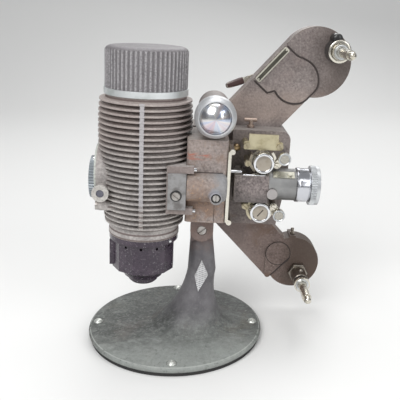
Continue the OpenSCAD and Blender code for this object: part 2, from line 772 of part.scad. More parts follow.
// Painted tube on a saddle above the block, closed by a bright domed cap
module pilot_tube() {
  color([0.40, 0.38, 0.37]) difference() {
    union() {
      rod_along_y(pilot_x, pilot_z, pilot_y0, pilot_y1, pilot_d);
      box(pilot_x - 9, pilot_x + 9, block_y0 + 12, step_y - 6, block_z1, pilot_z);
    }
    rod_along_y(pilot_x, pilot_z, pilot_y0 - past, pilot_y1 - 3, pilot_d - 4);
  }
}
module pilot_dome() {
  dome_r = dome_d / 2 - 0.3;
  color([0.88, 0.88, 0.88]) difference() {
    union() {
      rod_along_y(pilot_x, pilot_z, pilot_y0 - 4, pilot_y0, dome_d);
      intersection() {
        translate([pilot_x, pilot_y0 - 3, pilot_z]) sphere(dome_r);
        rod_along_y(pilot_x, pilot_z, pilot_y0 - 3 - dome_r, pilot_y0, dome_d);
      }
    }
    translate([pilot_x, pilot_y0 - 3, pilot_z]) sphere(dome_r - 1.5);
    rod_along_y(pilot_x, pilot_z, pilot_y0 - 3, pilot_y0 + past, 2 * (dome_r - 1.5));
  }
}
// Side view of the gear case from x0 on, drawn in by inset on every side
module case_outline(x0, inset) {
  r = case_corner_r - inset;
  top = case_z1 - inset;
  right = case_x1 - inset;
  difference() {
    polygon([[x0 + inset, case_z0 + inset], [right - case_taper, case_z0 + inset],
      [right, opt_z], [right, top], [x0 + inset, top]]);
    translate([right - r, top - r]) difference() {
      square(r + past);
      circle(r);
    }
  }
}
// Stepped box for the gears, open at the back, with bearings, an idler stub and ears for the gate's rods
module gear_case() {
  front_wall_y = case_y0 + case_wall;
  color([0.42, 0.37, 0.35]) difference() {
    union() {
      difference() {
        union() {
          slab_y(step_y, cover_y) case_outline(case_x0, 0);
          slab_y(case_y0, step_y) case_outline(case_front_x, 0);
        }
        slab_y(step_y + case_wall, cover_y + past) case_outline(case_x0, case_wall);
        slab_y(front_wall_y, step_y + case_wall + past) case_outline(case_front_x, case_wall);
      }
      rod_along_y(idler_x, idler_z, front_wall_y - past, gear_y0 + gear_t + 2, shaft_d);
      for (p = [[motor_x, idler_z], [idler_x, upper_z], [idler_x, lower_z]])
        rod_along_y(p[0], p[1], front_wall_y - past, gear_y0 - 2, 2 * shaft_d);
      for (z = rod_zs)
        box(rod_x0, rod_x0 + ear_l, gate_y1 + gap, case_y0 + past, z - ear_h / 2, z + ear_h / 2);
    }
    for (z = [upper_z, lower_z]) rod_along_y(idler_x, z, case_y0 - past, gear_y0, shaft_d + 2 * fit);
    rod_along_y(motor_x, idler_z, front_wall_y + 1, gear_y0, shaft_d + 2 * fit);
    rod_along_y(shutter_x, idler_z, step_y - past, gear_y0, shutter_shaft_d + 2 * fit);
    for (z = rod_zs) rod_along_x(rod_y, z, rod_x0 - past, rod_x1 + past, rod_d + 2 * seat);
    translate([switch_x, switch_y, case_z1 - 3]) cylinder(h = 4, d = switch_pin_d + 2 * fit);
  }
}
module case_cover() {
  color([0.42, 0.37, 0.35]) difference() {
    slab_y(cover_y, case_y1) case_outline(case_x0, 0);
    rod_along_y(motor_x, idler_z, cover_y - past, case_y1 + past, shaft_d + 2 * fit);
  }
}
// Polished plate behind the film, with a rounded bar at each end and the picture opening
module aperture_plate() {
  x1 = block_x1 + strip_t;
  color([0.82, 0.80, 0.76]) difference() {
    union() {
      box(block_x1, x1, block_y0, strip_y1, strip_z0, strip_z1);
      for (z = [strip_z0, strip_z1])
        rod_along_y(x1 + strip_curl_r - 1.6, z, block_y0, strip_y1, 2 * strip_curl_r);
    }
    box(block_x1 - strip_curl_r, block_x1, block_y0 - past, strip_y1 + past, strip_z0 - 5, strip_z1 + 5);
    box(block_x1 - past, x1 + past, film_y - 3, film_y + 3, opt_z - 2.5, opt_z + 2.5);
  }
}
module film_guard() {
  color([0.72, 0.66, 0.44]) {
    slab_y(guard_y0, guard_y0 + guard_t) {
      round_rect(guard_x0, guard_x1, guard_z0, guard_z0 + 7, 1.5);
      translate([guard_x0 + 4, guard_z0]) square([guard_x1 - guard_x0 - 8, guard_z1 - guard_z0]);
    }
    for (x = [guard_x0 + 2.6, guard_x1 - 2.6])
      rod_along_y(x, guard_post_z, guard_y0 + guard_t, case_y0, guard_post_d);
  }
}
// Curved guides on the left of each sprocket, each on a post from the gear case
module film_shoes() {
  color([0.66, 0.60, 0.44]) {
    shoe(upper_z, upper_shoe, 150, 235);
    shoe(lower_z, lower_shoe, 140, 235);
  }
}
module shoe(z, post, a0, a1) {
  slab_y(shoe_y0, shoe_y1) {
    translate([idler_x, z]) ring_part(shoe_r0, shoe_r0 + shoe_t, a0, a1);
    difference() {
      translate(post) circle(d = shoe_post_d);
      translate([idler_x, z]) circle(shoe_r0 + 0.5);
    }
  }
  rod_along_y(post[0], post[1], shoe_y1, case_y0, shoe_post_d - 1.6);
}
module keeper_posts() {
  color([0.70, 0.66, 0.52]) for (z = [upper_keeper_z, lower_keeper_z]) {
    rod_along_y(keeper_x, z, keeper_y0 - gap, case_y0, keeper_post_d);
    slotted_head(keeper_x, keeper_y0 - gap, z, keeper_post_d + 0.4, 2, 30);
  }
}
module gate_rods() {
  color([0.85, 0.85, 0.84]) for (z = rod_zs)
    rod_along_x(rod_y, z, rod_x0, rod_x1, rod_d);
}
// Sloping arm with a large round end, standing on the gear case
module upper_outline() {
  intersection() {
    translate(upper_end) rotate(upper_slope) translate([-arm_reach, upper_end_r - tuck - upper_w])
      square([arm_reach, upper_w]);
    translate([0, case_z1]) square([2 * arm_reach, arm_reach]);
  }
  translate(upper_end) circle(upper_end_r);
  translate(feed) circle(feed_boss_r);
}
module upper_arm() {
  color([0.42, 0.37, 0.35]) difference() {
    slab_y(arm_y0, arm_y1) upper_outline();
    rod_along_y(feed[0], feed[1], arm_y0 - past, arm_y0 + spindle_depth + gap, spindle_d + 2 * fit);
    rod_along_y(lever_pivot[0], lever_pivot[1], arm_y1 - 8, arm_y1 + past, lever_pin_d + 2 * fit);
  }
}
// Gear cover on the upper arm: a lobe and a straight part along the arm's edge, joined by hollow curves
module upper_arm_cover() {
  color([0.44, 0.39, 0.37]) slab_y(arm_y0 - cover_plate_t, arm_y0) intersection() {
    translate(upper_end) rotate(upper_slope) offset(r = -5, $fn = 48) offset(r = 5, $fn = 48) {
      translate([lobe_along, lobe_side]) circle(lobe_r, $fn = 72);
      translate([panel_along[0], 0.35 * upper_end_r])
        square([panel_along[1] - panel_along[0], upper_end_r]);
    }
    upper_outline();
  }
}
module lower_outline() {
  intersection() {
    translate(lower_end) rotate(lower_slope) translate([-arm_reach, -lower_left])
      square([arm_reach - 4.3, lower_w]);
    translate([0, case_z0 - arm_reach]) square([2 * arm_reach, arm_reach]);
  }
  translate(lower_end) circle(lower_end_r);
  translate([oiler_x - 3, lower_end[1]]) square([6, oiler_z - lower_end[1]]);
}
module lower_arm() {
  color([0.42, 0.36, 0.33]) difference() {
    slab_y(arm_y0, arm_y1) lower_outline();
    rod_along_y(takeup[0], takeup[1], arm_y0 - past, arm_y0 + spindle_depth + gap, spindle_d + 2 * fit);
  }
}
module lower_arm_cover() {
  color([0.44, 0.38, 0.35]) slab_y(arm_y0 - cover_plate_t, arm_y0) hull() {
    translate(disc) circle(disc_r, $fn = 48);
    translate(heel) circle(3, $fn = 24);
  }
}
module spindle_bearings() {
  color([0.16, 0.16, 0.18]) {
    spindle_bearing(feed, bearing_y0, feed_bearing_d);
    spindle_bearing(takeup, bearing_y0 - takeup_forward, takeup_bearing_d);
  }
}
module spindle_bearing(p, y0, d) {
  difference() {
    rod_along_y(p[0], p[1], y0, arm_y0, d);
    rod_along_y(p[0], p[1], y0 - past, arm_y0 + past, spindle_d + 2 * fit);
  }
}
module oil_cup() {
  color([0.80, 0.80, 0.80]) translate([oiler_x, (arm_y0 + arm_y1) / 2 - 3, oiler_z]) {
    cylinder(h = 2, d = 4.6);
    cylinder(h = 4.5, d = 2.6);
    translate([0, 0, 4.5]) sphere(d = 3.4);
  }
}
module motor_case() {
  color([0.36, 0.33, 0.32]) difference() {
    rod_along_y(motor_x, idler_z, case_y1, motor_y1, motor_d);
    rod_along_y(motor_x, idler_z, case_y1 + 3, motor_y1 + past, motor_d - 2 * motor_wall);
    rod_along_y(motor_x, idler_z, case_y1 - past, motor_y1, shaft_d + 2 * fit);
  }
}
module motor_field() {
  color([0.45, 0.45, 0.46]) difference() {
    rod_along_y(motor_x, idler_z, armature_y0, armature_y0 + armature_l, motor_d - 2 * motor_wall - 2 * seat);
    rod_along_y(motor_x, idler_z, armature_y0 - past, armature_y0 + armature_l + past, field_bore_d);
  }
}
// Domed rear bell with a ring of air slots and the rear bearing
module motor_end_bell() {
  edge_r = 8;
  color([0.36, 0.33, 0.32]) difference() {
    translate([motor_x, motor_y1, idler_z]) rotate([-90, 0, 0]) rotate_extrude() {
      square([motor_r, bell_l - edge_r]);
      square([motor_r - edge_r, bell_l]);
      translate([motor_r - edge_r, bell_l - edge_r]) circle(edge_r);
    }
    rod_along_y(motor_x, idler_z, motor_y1 - 2 * edge_r, motor_y1, motor_d + past);
    rod_along_y(motor_x, idler_z, motor_y1 - past, motor_y1 + bell_l - 4, motor_d - 12);
    rod_along_y(motor_x, idler_z, motor_y1, motor_y1 + bell_l - 1.5, shaft_d + 2 * fit);
    for (a = [0:30:330]) translate([motor_x, motor_y1 + bell_l - 5, idler_z]) rotate([0, a, 0])
      translate([9, 0, -1.2]) cube([7, 8, 2.4]);
  }
}
module power_inlet() {
  color([0.08, 0.08, 0.08]) difference() {
    rod_along_y(inlet_x, inlet_z, case_y1, case_y1 + inlet_l, inlet_d);
    rod_along_y(inlet_x, inlet_z, case_y1 + 2.5, case_y1 + inlet_l + past, inlet_d - 4);
  }
  color([0.75, 0.70, 0.55]) for (s = [-1, 1])
    rod_along_y(inlet_x + s * 4.5, inlet_z, case_y1 + 2, case_y1 + inlet_l - 1, 3.2);
}
// Motor shaft with its pinion and wound rotor
module motor_armature() {
  color([0.60, 0.45, 0.30]) {
    rod_along_y(motor_x, idler_z, case_y0 + case_wall + 1.5, motor_y1 + bell_l - 2, shaft_d);
    rod_along_y(motor_x, idler_z, armature_y0, armature_y0 + armature_l, armature_d);
    translate([motor_x, 0, idler_z]) slab_y(gear_y0, gear_y0 + gear_t) wheel(pinion_teeth, 0);
  }
}
module cooling_fan() {
  color([0.60, 0.60, 0.60]) difference() {
    union() {
      rod_along_y(motor_x, idler_z, fan_y0, fan_y0 + 1.2, fan_d);
      rod_along_y(motor_x, idler_z, fan_y0, fan_y0 + fan_t, 12);
      for (a = [0:40:320]) translate([motor_x, fan_y0, idler_z]) rotate([0, a, 0])
        translate([5, 0.6, -0.6]) cube([fan_d / 2 - 6, fan_t - 1.2, 1.2]);
    }
    rod_along_y(motor_x, idler_z, fan_y0 - past, fan_y0 + fan_t + past, shaft_d + 2 * seat);
  }
}
// A toothed wheel on its shaft's axis, with a bore of the given diameter
module gear(x, z, teeth, turn, bore) {
  color([0.72, 0.62, 0.36]) difference() {
    translate([x, 0, z]) slab_y(gear_y0, gear_y0 + gear_t) wheel(teeth, turn);
    rod_along_y(x, z, gear_y0 - past, gear_y0 + gear_t + past, bore);
  }
}
module idler_gear() gear(idler_x, idler_z, wheel_teeth, 180 / wheel_teeth, shaft_d + 2 * fit);
module upper_sprocket_gear() gear(idler_x, upper_z, wheel_teeth, 0, shaft_d + 2 * seat);
module lower_sprocket_gear() gear(idler_x, lower_z, wheel_teeth, 0, shaft_d + 2 * seat);
module shutter_gear()
  gear(shutter_x, idler_z, shutter_teeth, 180 / shutter_teeth, shutter_shaft_d + 2 * seat);
// Toothed film drum between two rims, with a bright dished cap in front and its shaft behind
module sprocket(z) {
  tooth_h = 1.1;
  color([0.78, 0.75, 0.66]) {
    difference() {
      rod_along_y(idler_x, z, sprocket_y0, sprocket_y0 + sprocket_cap_t, sprocket_d);
      rod_along_y(idler_x, z, sprocket_y0 - past, sprocket_y0 + 1.2, sprocket_d - 4);
    }
    rod_along_y(idler_x, z, sprocket_y0 + sprocket_cap_t, drum_y1 + sprocket_rim_t, drum_d);
    rod_along_y(idler_x, z, drum_y1, drum_y1 + sprocket_rim_t, sprocket_d - 0.6);
    rod_along_y(idler_x, z, drum_y1, gear_y0 + gear_t + 1, shaft_d);
    for (i = [0:sprocket_teeth - 1])
      translate([idler_x, drum_y0 + 1.2, z]) rotate([0, 360 * i / sprocket_teeth, 0])
        translate([drum_d / 2 - 0.4, -0.5, -0.5]) cube([tooth_h + 0.4, 1, 1]);
  }
}
module upper_sprocket() sprocket(upper_z);
module lower_sprocket() sprocket(lower_z);
// Barrel shutter on its shaft: two windows let the light through at rest
module shutter_drum() {
  color([0.20, 0.20, 0.20]) difference() {
    union() {
      difference() {
        rod_along_y(shutter_x, idler_z, shutter_y0, shutter_y1, shutter_d);
        rod_along_y(shutter_x, idler_z, shutter_y0 + 1.5, shutter_y1 - 1.5, shutter_d - 3);
        box(shutter_x - shutter_d, shutter_x + shutter_d, film_y - 7, film_y + 7, idler_z - 5, idler_z + 5);
      }
      rod_along_y(shutter_x, idler_z, shutter_y0 - shutter_nose, gear_y0 + gear_t + 1, shutter_shaft_d);
    }
  }
}
// Sprung keeper: a curved shoe on the right of its sprocket, a hub on its post, and a round knob
module keeper(sprocket_z, pivot, knob, a0, a1) {
  color([0.70, 0.68, 0.62]) difference() {
    union() {
      slab_y(shoe_y0, shoe_y1) translate([idler_x, sprocket_z]) ring_part(shoe_r0, shoe_r0 + shoe_t, a0, a1);
      rod_along_y(keeper_x, pivot, keeper_y0, shoe_y1, keeper_hub_d);
      slab_y(keeper_y0, keeper_y0 + keeper_arm_t) bar([keeper_x, pivot], knob, keeper_hub_d);
      rod_along_y(knob[0], knob[1], keeper_y0 - knob_t, keeper_y0, keeper_knob_d);
    }
    rod_along_y(keeper_x, pivot, keeper_y0 - past, shoe_y1 + past, keeper_post_d + 2 * fit);
  }
}
module upper_keeper() keeper(upper_z, upper_keeper_z, upper_knob, -18, 45);
module lower_keeper() keeper(lower_z, lower_keeper_z, lower_knob, -45, 24);
// Casting that carries the lens: flat gate, round jacket, and a tail that slides on two rods
module gate_casting() {
  color([0.42, 0.40, 0.40]) difference() {
    union() {
      box(gate_x0, gate_x1, gate_y0, gate_y1, gate_z0, gate_z1);
      rod_along_x(film_y, opt_z, gate_x1 - past, jacket_x1, jacket_d);
      box(tail_x0, tail_x1, gate_y1 - past, case_y0 - gap, opt_z - 12, opt_z + 12);
      box(gate_x1 - past, tail_x1, film_y, case_y0 - gap, opt_z - 12, opt_z + 12);
    }
    rod_along_x(film_y, opt_z, lens_x0 - past, jacket_x1 + past, lens_d + 2 * fit);
    rod_along_x(film_y, opt_z, gate_x0 - past, lens_x0, gate_beam_d);
    for (z = rod_zs) rod_along_x(rod_y, z, tail_x0 - past, tail_x1 + past, rod_d + 2 * fit);
    rod_along_y(button_x, button_z, gate_y0 - past, button_y1 + button_travel + gap, button_d + 2 * fit);
    on_jacket() translate([-past, -spring_w / 2 - fit, 0])
      cube([spring_l + 2 * past, spring_w + 2 * fit, jacket_d]);
  }
}
// The flat on the jacket, turned towards the operator, where the spring lies
module on_jacket() {
  translate([jacket_x1 - spring_l - 2, film_y, opt_z]) rotate([spring_angle, 0, 0])
    translate([0, 0, spring_r]) children();
}
module lens_spring() {
  color([0.76, 0.70, 0.48]) on_jacket() {
    translate([0, -spring_w / 2, 0]) cube([spring_l, spring_w, spring_t]);
    for (x = [3.5, spring_l - 4]) translate([x, 0, spring_t]) cylinder(h = 1.4, d = 4);
  }
}
module gate_button() {
  color([0.80, 0.78, 0.76]) rod_along_y(button_x, button_z, button_y0, button_y1, button_d);
}
module lens_tube() {
  color([0.86, 0.86, 0.86]) difference() {
    union() {
      rod_along_x(film_y, opt_z, lens_x0, lens_front_x, lens_d);
      rod_along_x(film_y, opt_z, lens_front_x, lens_front_x + lens_front_l, lens_front_d);
      rod_along_x(film_y, opt_z, lens_front_x + lens_front_l, focus_x1 - 1, lens_nose_d);
    }
    rod_along_x(film_y, opt_z, lens_x0 - past, focus_x1 + past, glass_d);
  }
}
module lens_glass() {
  color([0.75, 0.85, 0.92, 0.5]) for (x = [lens_x0 + 2, focus_x1 - 7])
    domed_lens(x, 4.5, glass_d - 2 * seat, 24);
}
module focus_ring() {
  color([0.84, 0.84, 0.84]) difference() {
    union() {
      translate([focus_x0, film_y, opt_z]) rotate([0, 90, 0])
        linear_extrude(focus_w - 3) fluted(focus_d, 48, 0.9);
      rod_along_x(film_y, opt_z, focus_x1 - 3, focus_x1, focus_d - 0.6);
    }
    rod_along_x(film_y, opt_z, focus_x0 - past, focus_x1 + past, lens_nose_d + 2 * fit);
  }
}
// Reel spindle: shaft in its bearing, hub, flange, the length that takes the reel, and a rounded tip
module spindle(p, flange_y) {
  color([0.74, 0.72, 0.64]) {
    rod_along_y(p[0], p[1], spindle_y0, arm_y0 + spindle_depth, spindle_d);
    rod_along_y(p[0], p[1], flange_y, flange_y + flange_t, flange_d);
    rod_along_y(p[0], p[1], flange_y + flange_t, flange_y + flange_t + hub_l, hub_d);
    rod_along_y(p[0], p[1], spindle_y0 - tip_l + tip_d / 2, spindle_y0, tip_d);
    translate([p[0], spindle_y0 - tip_l + tip_d / 2, p[1]]) sphere(d = tip_d);
  }
}
module feed_spindle() spindle(feed, flange_y0);
module takeup_spindle() spindle(takeup, flange_y0 - takeup_forward);
// Flat lever on the back of the upper arm, with a sleeve on its free end
module rewind_lever() {
  color([0.55, 0.50, 0.44]) {
    slab_y(arm_y1 + gap, arm_y1 + gap + lever_t) {
      bar(lever_pivot, lever_tip, lever_w);
      translate(lever_pivot) circle(lever_w);
    }
    rod_along_y(lever_pivot[0], lever_pivot[1], arm_y1 - 7, arm_y1 + gap + lever_t, lever_pin_d);
  }
}
// Small cross-handled lever on top of the gear case
module switch_lever() {
  color([0.62, 0.45, 0.38]) {
    translate([switch_x, switch_y, case_z1 - 2.5]) cylinder(h = 9, d = switch_pin_d);
    translate([switch_x, switch_y, case_z1 + gap]) cylinder(h = 2.2, d = switch_pin_d + 2.4);
    rod_along_x(switch_y, case_z1 + 7, switch_x - 6, switch_x + 5, 3.4);
  }
}

base_casting();
base_ring();
base_rivets();
head() pivot_bolt();
head() condenser_block();
head() condenser_cover();
head() slotted_screws();
head() condenser_lenses();
head() lamphouse();
head() lamphouse_plate();
head() lamphouse_pins();
head() cap_band();
head() lamphouse_cap();
head() lamp_base_cap();
head() lamp_socket();
head() lamp_bulb();
head() reflector();
head() window_bezel();
head() window_glass();
head() reflector_knob();
head() pilot_tube();
head() pilot_dome();
head() gear_case();
head() case_cover();
head() aperture_plate();
head() film_guard();
head() film_shoes();
head() keeper_posts();
head() gate_rods();
head() upper_arm();
head() upper_arm_cover();
head() lower_arm();
head() lower_arm_cover();
head() spindle_bearings();
head() oil_cup();
head() motor_case();
head() motor_field();
head() motor_end_bell();
head() power_inlet();
head() motor_armature();
head() cooling_fan();
head() idler_gear();
head() upper_sprocket();
head() upper_sprocket_gear();
head() lower_sprocket();
head() lower_sprocket_gear();
head() shutter_drum();
head() shutter_gear();
head() upper_keeper();
head() lower_keeper();
head() gate_casting();
head() gate_button();
head() lens_tube();
head() lens_glass();
head() lens_spring();
head() focus_ring();
head() feed_spindle();
head() takeup_spindle();
head() rewind_lever();
head() switch_lever();
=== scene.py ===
# %% [markdown]
# # A home movie projector
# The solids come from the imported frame: every casting, gear, knob and lever is already there, in
# metres, each riding on the body that moves it. This lesson gives each of them the finish that the
# old machine has, and adds the small trim that is too fine for the construction file.

import bmesh
import bpy
import numpy as np
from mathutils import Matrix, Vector


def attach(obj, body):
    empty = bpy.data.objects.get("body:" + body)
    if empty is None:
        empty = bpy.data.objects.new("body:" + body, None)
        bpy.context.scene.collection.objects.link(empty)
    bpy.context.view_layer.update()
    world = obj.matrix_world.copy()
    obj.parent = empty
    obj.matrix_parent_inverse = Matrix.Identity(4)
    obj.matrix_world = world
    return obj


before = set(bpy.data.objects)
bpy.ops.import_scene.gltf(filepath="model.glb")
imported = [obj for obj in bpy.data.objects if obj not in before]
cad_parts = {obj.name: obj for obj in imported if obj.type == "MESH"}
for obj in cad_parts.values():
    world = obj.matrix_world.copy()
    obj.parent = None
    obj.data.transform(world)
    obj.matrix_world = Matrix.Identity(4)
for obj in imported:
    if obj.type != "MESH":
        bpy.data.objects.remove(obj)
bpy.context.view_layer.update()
MM = 0.001

# %% [markdown]
# ## Where things are
# The head is drawn level and then tilted a little nose down about the pivot bolt. Trim that sits on
# the head is easiest to place in that level drawing, so one function turns level millimetres into
# the frame's metres. Turning the pieces with an object rotation would also work, but a finished
# piece keeps its place in its mesh.

# %% Level drawing to frame
TILT = np.radians(2.5)
PIVOT = np.array([25.0, 0.0, 105.0])
TILTED = np.array([[np.cos(TILT), 0, np.sin(TILT)], [0, 1, 0], [-np.sin(TILT), 0, np.cos(TILT)]])
UP, RIGHT, BACKWARD = TILTED[:, 2], TILTED[:, 0], (0, 1, 0)
FILM_Y, OPT_Z = -9.0, 148.0


def on_head(points):
    """Level millimetres to frame metres: turn about the pivot by the tilt, then scale."""
    return ((np.asarray(points, float) - PIVOT) @ TILTED.T + PIVOT) * MM


print("lens axis at the pivot's left:", on_head([0, FILM_Y, OPT_Z]).round(4))

# %% [markdown]
# ## Surfaces from arrays
# Every new piece is a grid of points: rows along one parameter, columns along another. A turned piece
# is a profile carried round an axis, a wire is an oval carried along a path, and a flat plate is its
# outline drawn in towards its middle. Primitives and modifiers could make most of them, but a grid
# says exactly where each point lies, and one function makes the mesh from such grids.


# %% Grids to meshes
def piece(name, grids, body, finish):
    """Joins point grids P[i, j] into one mesh: neighbours in i and in j make quads, j closes on itself."""
    points, quads, start = [], [], 0
    for grid in grids:
        rows, columns = grid.shape[:2]
        index = start + np.arange(rows * columns).reshape(rows, columns)
        index = np.hstack([index, index[:, :1]])
        corners = (index[:-1, :-1], index[:-1, 1:], index[1:, 1:], index[1:, :-1])
        quads.append(np.stack(corners, axis=-1).reshape(-1, 4))
        points.append(grid.reshape(-1, 3))
        start += rows * columns
    mesh = bpy.data.meshes.new(name)
    mesh.from_pydata(np.vstack(points), [], np.vstack(quads))
    tidy = bmesh.new()
    tidy.from_mesh(mesh)
    bmesh.ops.remove_doubles(tidy, verts=tidy.verts, dist=1e-7)
    bmesh.ops.recalc_face_normals(tidy, faces=tidy.faces)
    tidy.to_mesh(mesh)
    tidy.free()
    mesh.polygons.foreach_set("use_smooth", np.ones(len(mesh.polygons), bool))
    mesh.set_sharp_from_angle(angle=np.radians(35))
    mesh.materials.append(finish.material)
    made = bpy.data.objects.new(name, mesh)
    bpy.context.scene.collection.objects.link(made)
    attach(made, body)
    print(name, "faces:", len(mesh.polygons), "rides on", body)


def turned(profile, centre, axis, steps=40):
    """Point (d, r) of the profile at angle t: centre + d * axis + r * (u cos t + v sin t)."""
    profile, axis = np.asarray(profile, float), np.asarray(axis, float)
    u = np.cross(axis, [0.0, 0.0, 1.0] if abs(axis[2]) < 0.9 else [1.0, 0.0, 0.0])
    u /= np.linalg.norm(u)
    v = np.cross(axis, u)
    t = np.linspace(0, 2 * np.pi, steps, endpoint=False)[:, None]
    around = u * np.cos(t) + v * np.sin(t)
    return np.asarray(centre) + profile[:, :1, None] * axis + profile[:, 1:, None] * around[None]


def wire(path, wide, deep=None, closed=False, steps=10):
    """Oval section carried along a path in the X-Z plane: path + wide * n cos t + deep * y sin t."""
    path, deep = np.asarray(path, float), wide if deep is None else deep
    along = np.roll(path, -1, 0) - np.roll(path, 1, 0) if closed else np.gradient(path, axis=0)
    along /= np.linalg.norm(along, axis=1)[:, None]
    side = np.cross(along, BACKWARD)[:, None]
    t = np.linspace(0, 2 * np.pi, steps, endpoint=False)[None, :, None]
    grid = path[:, None] + wide * np.cos(t) * side + deep * np.sin(t) * np.array(BACKWARD)
    if closed:
        return np.concatenate([grid, grid[:1]])
    ends = np.repeat(path[[0, -1], None], steps, axis=1)
    return np.concatenate([ends[:1], grid, ends[1:]])


def plate(outline, y_front, y_back, bevel):
    """Outline in X-Z drawn in towards its middle: front middle, bevelled edge, side, back middle."""
    middle = outline.mean(0)
    size = np.abs(outline - middle).max()
    shares = np.array([0.0, 1 - bevel / size, 1.0, 1.0, 0.0])
    depths = np.array([y_front, y_front, y_front + np.sign(y_back - y_front) * bevel, y_back, y_back])
    flat = middle + shares[:, None, None] * (outline - middle)
    return np.stack([flat[..., 0], np.broadcast_to(depths[:, None], flat.shape[:2]), flat[..., 1]], -1)


def round_box(along0, along1, side0, side1, radius, steps=6):
    """Outline of a rectangle whose corners are quarter circles."""
    t = np.linspace(0, np.pi / 2, steps)
    corners = [(along1, side1, 0), (along0, side1, 1), (along0, side0, 2), (along1, side0, 3)]
    signs = [(1, 1), (-1, 1), (-1, -1), (1, -1)]
    arcs = []
    for (a, b, quarter), (s, w) in zip(corners, signs):
        turn = t + quarter * np.pi / 2
        arcs.append([a - s * radius, b - w * radius] + radius * np.stack([np.cos(turn), np.sin(turn)], 1))
    return np.vstack(arcs)


# %% [markdown]
# ## Shader sums
# Procedural finishes are long sums of noise and masks. Wired by hand they are hard to read, so one
# small class wraps a node's output and lets Python's own operators add the Math nodes. Everything
# that is not arithmetic comes from one method that makes any node.


# %% Fields and finishes
class Field:
    """A value, colour or vector that changes over a surface: one output socket of a finish."""

    def __init__(self, finish, socket):
        self.finish, self.socket = finish, socket

    def sum(self, operation, first, second):
        """One Math node on two values, each a field or a number."""
        return self.finish.node("ShaderNodeMath", {"operation": operation}, {0: first, 1: second})

    def __add__(self, other):
        return self.sum("ADD", self, other)

    def __radd__(self, other):
        return self.sum("ADD", other, self)

    def __sub__(self, other):
        return self.sum("SUBTRACT", self, other)

    def __rsub__(self, other):
        return self.sum("SUBTRACT", other, self)

    def __mul__(self, other):
        return self.sum("MULTIPLY", self, other)

    def __rmul__(self, other):
        return self.sum("MULTIPLY", other, self)

    def __truediv__(self, other):
        return self.sum("DIVIDE", self, other)

    def __pow__(self, other):
        return self.sum("POWER", self, other)


class Finish:
    """A material: its Principled shader, and the fields that feed it."""

    def __init__(self, name, **constants):
        self.material = bpy.data.materials.new(name)
        self.material.use_nodes = True
        self.tree = self.material.node_tree
        self.shader = self.tree.nodes["Principled BSDF"]
        for socket, value in constants.items():
            self.shader.inputs[socket.replace("_", " ")].default_value = value
        self.place = self.node("ShaderNodeTexCoord", {}, {}, "Object")

    def node(self, kind, settings, inputs, output=0):
        """Makes any node: its settings first, then a value or a link for each input."""
        made = self.tree.nodes.new(kind)
        for key, value in settings.items():
            setattr(made, key, value)
        for key, value in inputs.items():
            self.feed(made.inputs[key], value)
        return Field(self, made.outputs[output])

    def feed(self, socket, value):
        """Links a field to the socket, or writes a plain value into it."""
        if isinstance(value, Field):
            self.tree.links.new(value.socket, socket)
        else:
            socket.default_value = value

    def shade(self, **fields):
        """Feeds the shader's own sockets, whose names have _ for each space here."""
        for socket, value in fields.items():
            self.feed(self.shader.inputs[socket.replace("_", " ")], value)
        return self

    def noise(self, scale, detail=3.0, roughness=0.55, place=None):
        """Cloudy values round 0.5, with about scale lumps to a metre and detail finer layers on them."""
        inputs = {"Vector": place or self.place, "Scale": scale, "Detail": detail, "Roughness": roughness}
        return self.node("ShaderNodeTexNoise", {}, inputs)

    def cells(self, scale):
        """Distance to the nearest of many scattered points."""
        return self.node("ShaderNodeTexVoronoi", {}, {"Vector": self.place, "Scale": scale}, "Distance")

    def smooth(self, value, low, high):
        """0 up to low, 1 from high on, and 3x^2 - 2x^3 between; with low above high it runs the other way."""
        inputs = {"Value": value, "From Min": low, "From Max": high}
        return self.node("ShaderNodeMapRange", {"interpolation_type": "SMOOTHSTEP"}, inputs)

    def mix(self, first, second, factor):
        """first + factor * (second - first), for red, green and blue alike."""
        return self.node("ShaderNodeMix", {"data_type": "RGBA"}, {0: factor, 6: first, 7: second}, 2)

    def stain(self, colour, mask):
        """Lays a colour over the base colour that is there already, as far as the mask goes."""
        below = Field(self, self.shader.inputs["Base Color"].links[0].from_socket)
        self.shade(Base_Color=self.mix(below, colour, mask))

    def vector(self, operation, first, second=(0, 0, 0), output="Vector"):
        """One Vector Math node on two vectors."""
        return self.node("ShaderNodeVectorMath", {"operation": operation}, {0: first, 1: second}, output)

    def along(self, direction, origin):
        """How far a point lies from origin along a direction, in millimetres."""
        step = self.vector("SUBTRACT", self.place, tuple(origin))
        return self.vector("DOT_PRODUCT", step, tuple(np.asarray(direction) / MM), "Value")

    def edge(self, radius):
        """Near 1 on a sharp edge: there the rounded normal leaves the face's own normal."""
        rounded = self.node("ShaderNodeBevel", {"samples": 4}, {"Radius": radius})
        face = self.node("ShaderNodeNewGeometry", {}, {}, "Normal")
        return self.smooth(1 - self.vector("DOT_PRODUCT", rounded, face, "Value"), 0.015, 0.16)

    def bump(self, height, distance, strength=1.0, radius=0.0004):
        """Tilts the normal by the slope of height times distance, on edges rounded by radius."""
        rounded = self.node("ShaderNodeBevel", {"samples": 4}, {"Radius": radius})
        inputs = {"Height": height, "Distance": distance, "Strength": strength, "Normal": rounded}
        return self.node("ShaderNodeBump", {}, inputs)


def dress(finish, *names):
    """Puts a finish on every material slot of the named solids."""
    for name in names:
        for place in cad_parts[name].material_slots:
            place.material = finish.material
    print(finish.material.name, "on", ", ".join(names))


print("operators that add a Math node: + - * / **")

# %% [markdown]
# ## Hammered enamel
# The castings were sprayed with a pebbled brown-grey enamel. Decades of handling left it stained in
# broad clouds, polished or chipped along its edges, and rusty where the bearings threw oil. A painted
# picture could show all that, but it would need a map for every casting and would blur close up. So
# clouds come from a slow noise, the pebbles from a quick one that also drives the bump, and a rounded
# normal finds the edges whatever the mesh is.


# %% Enamel
def rgb(red, green, blue):
    """An opaque colour, in linear light."""
    return (red, green, blue, 1.0)


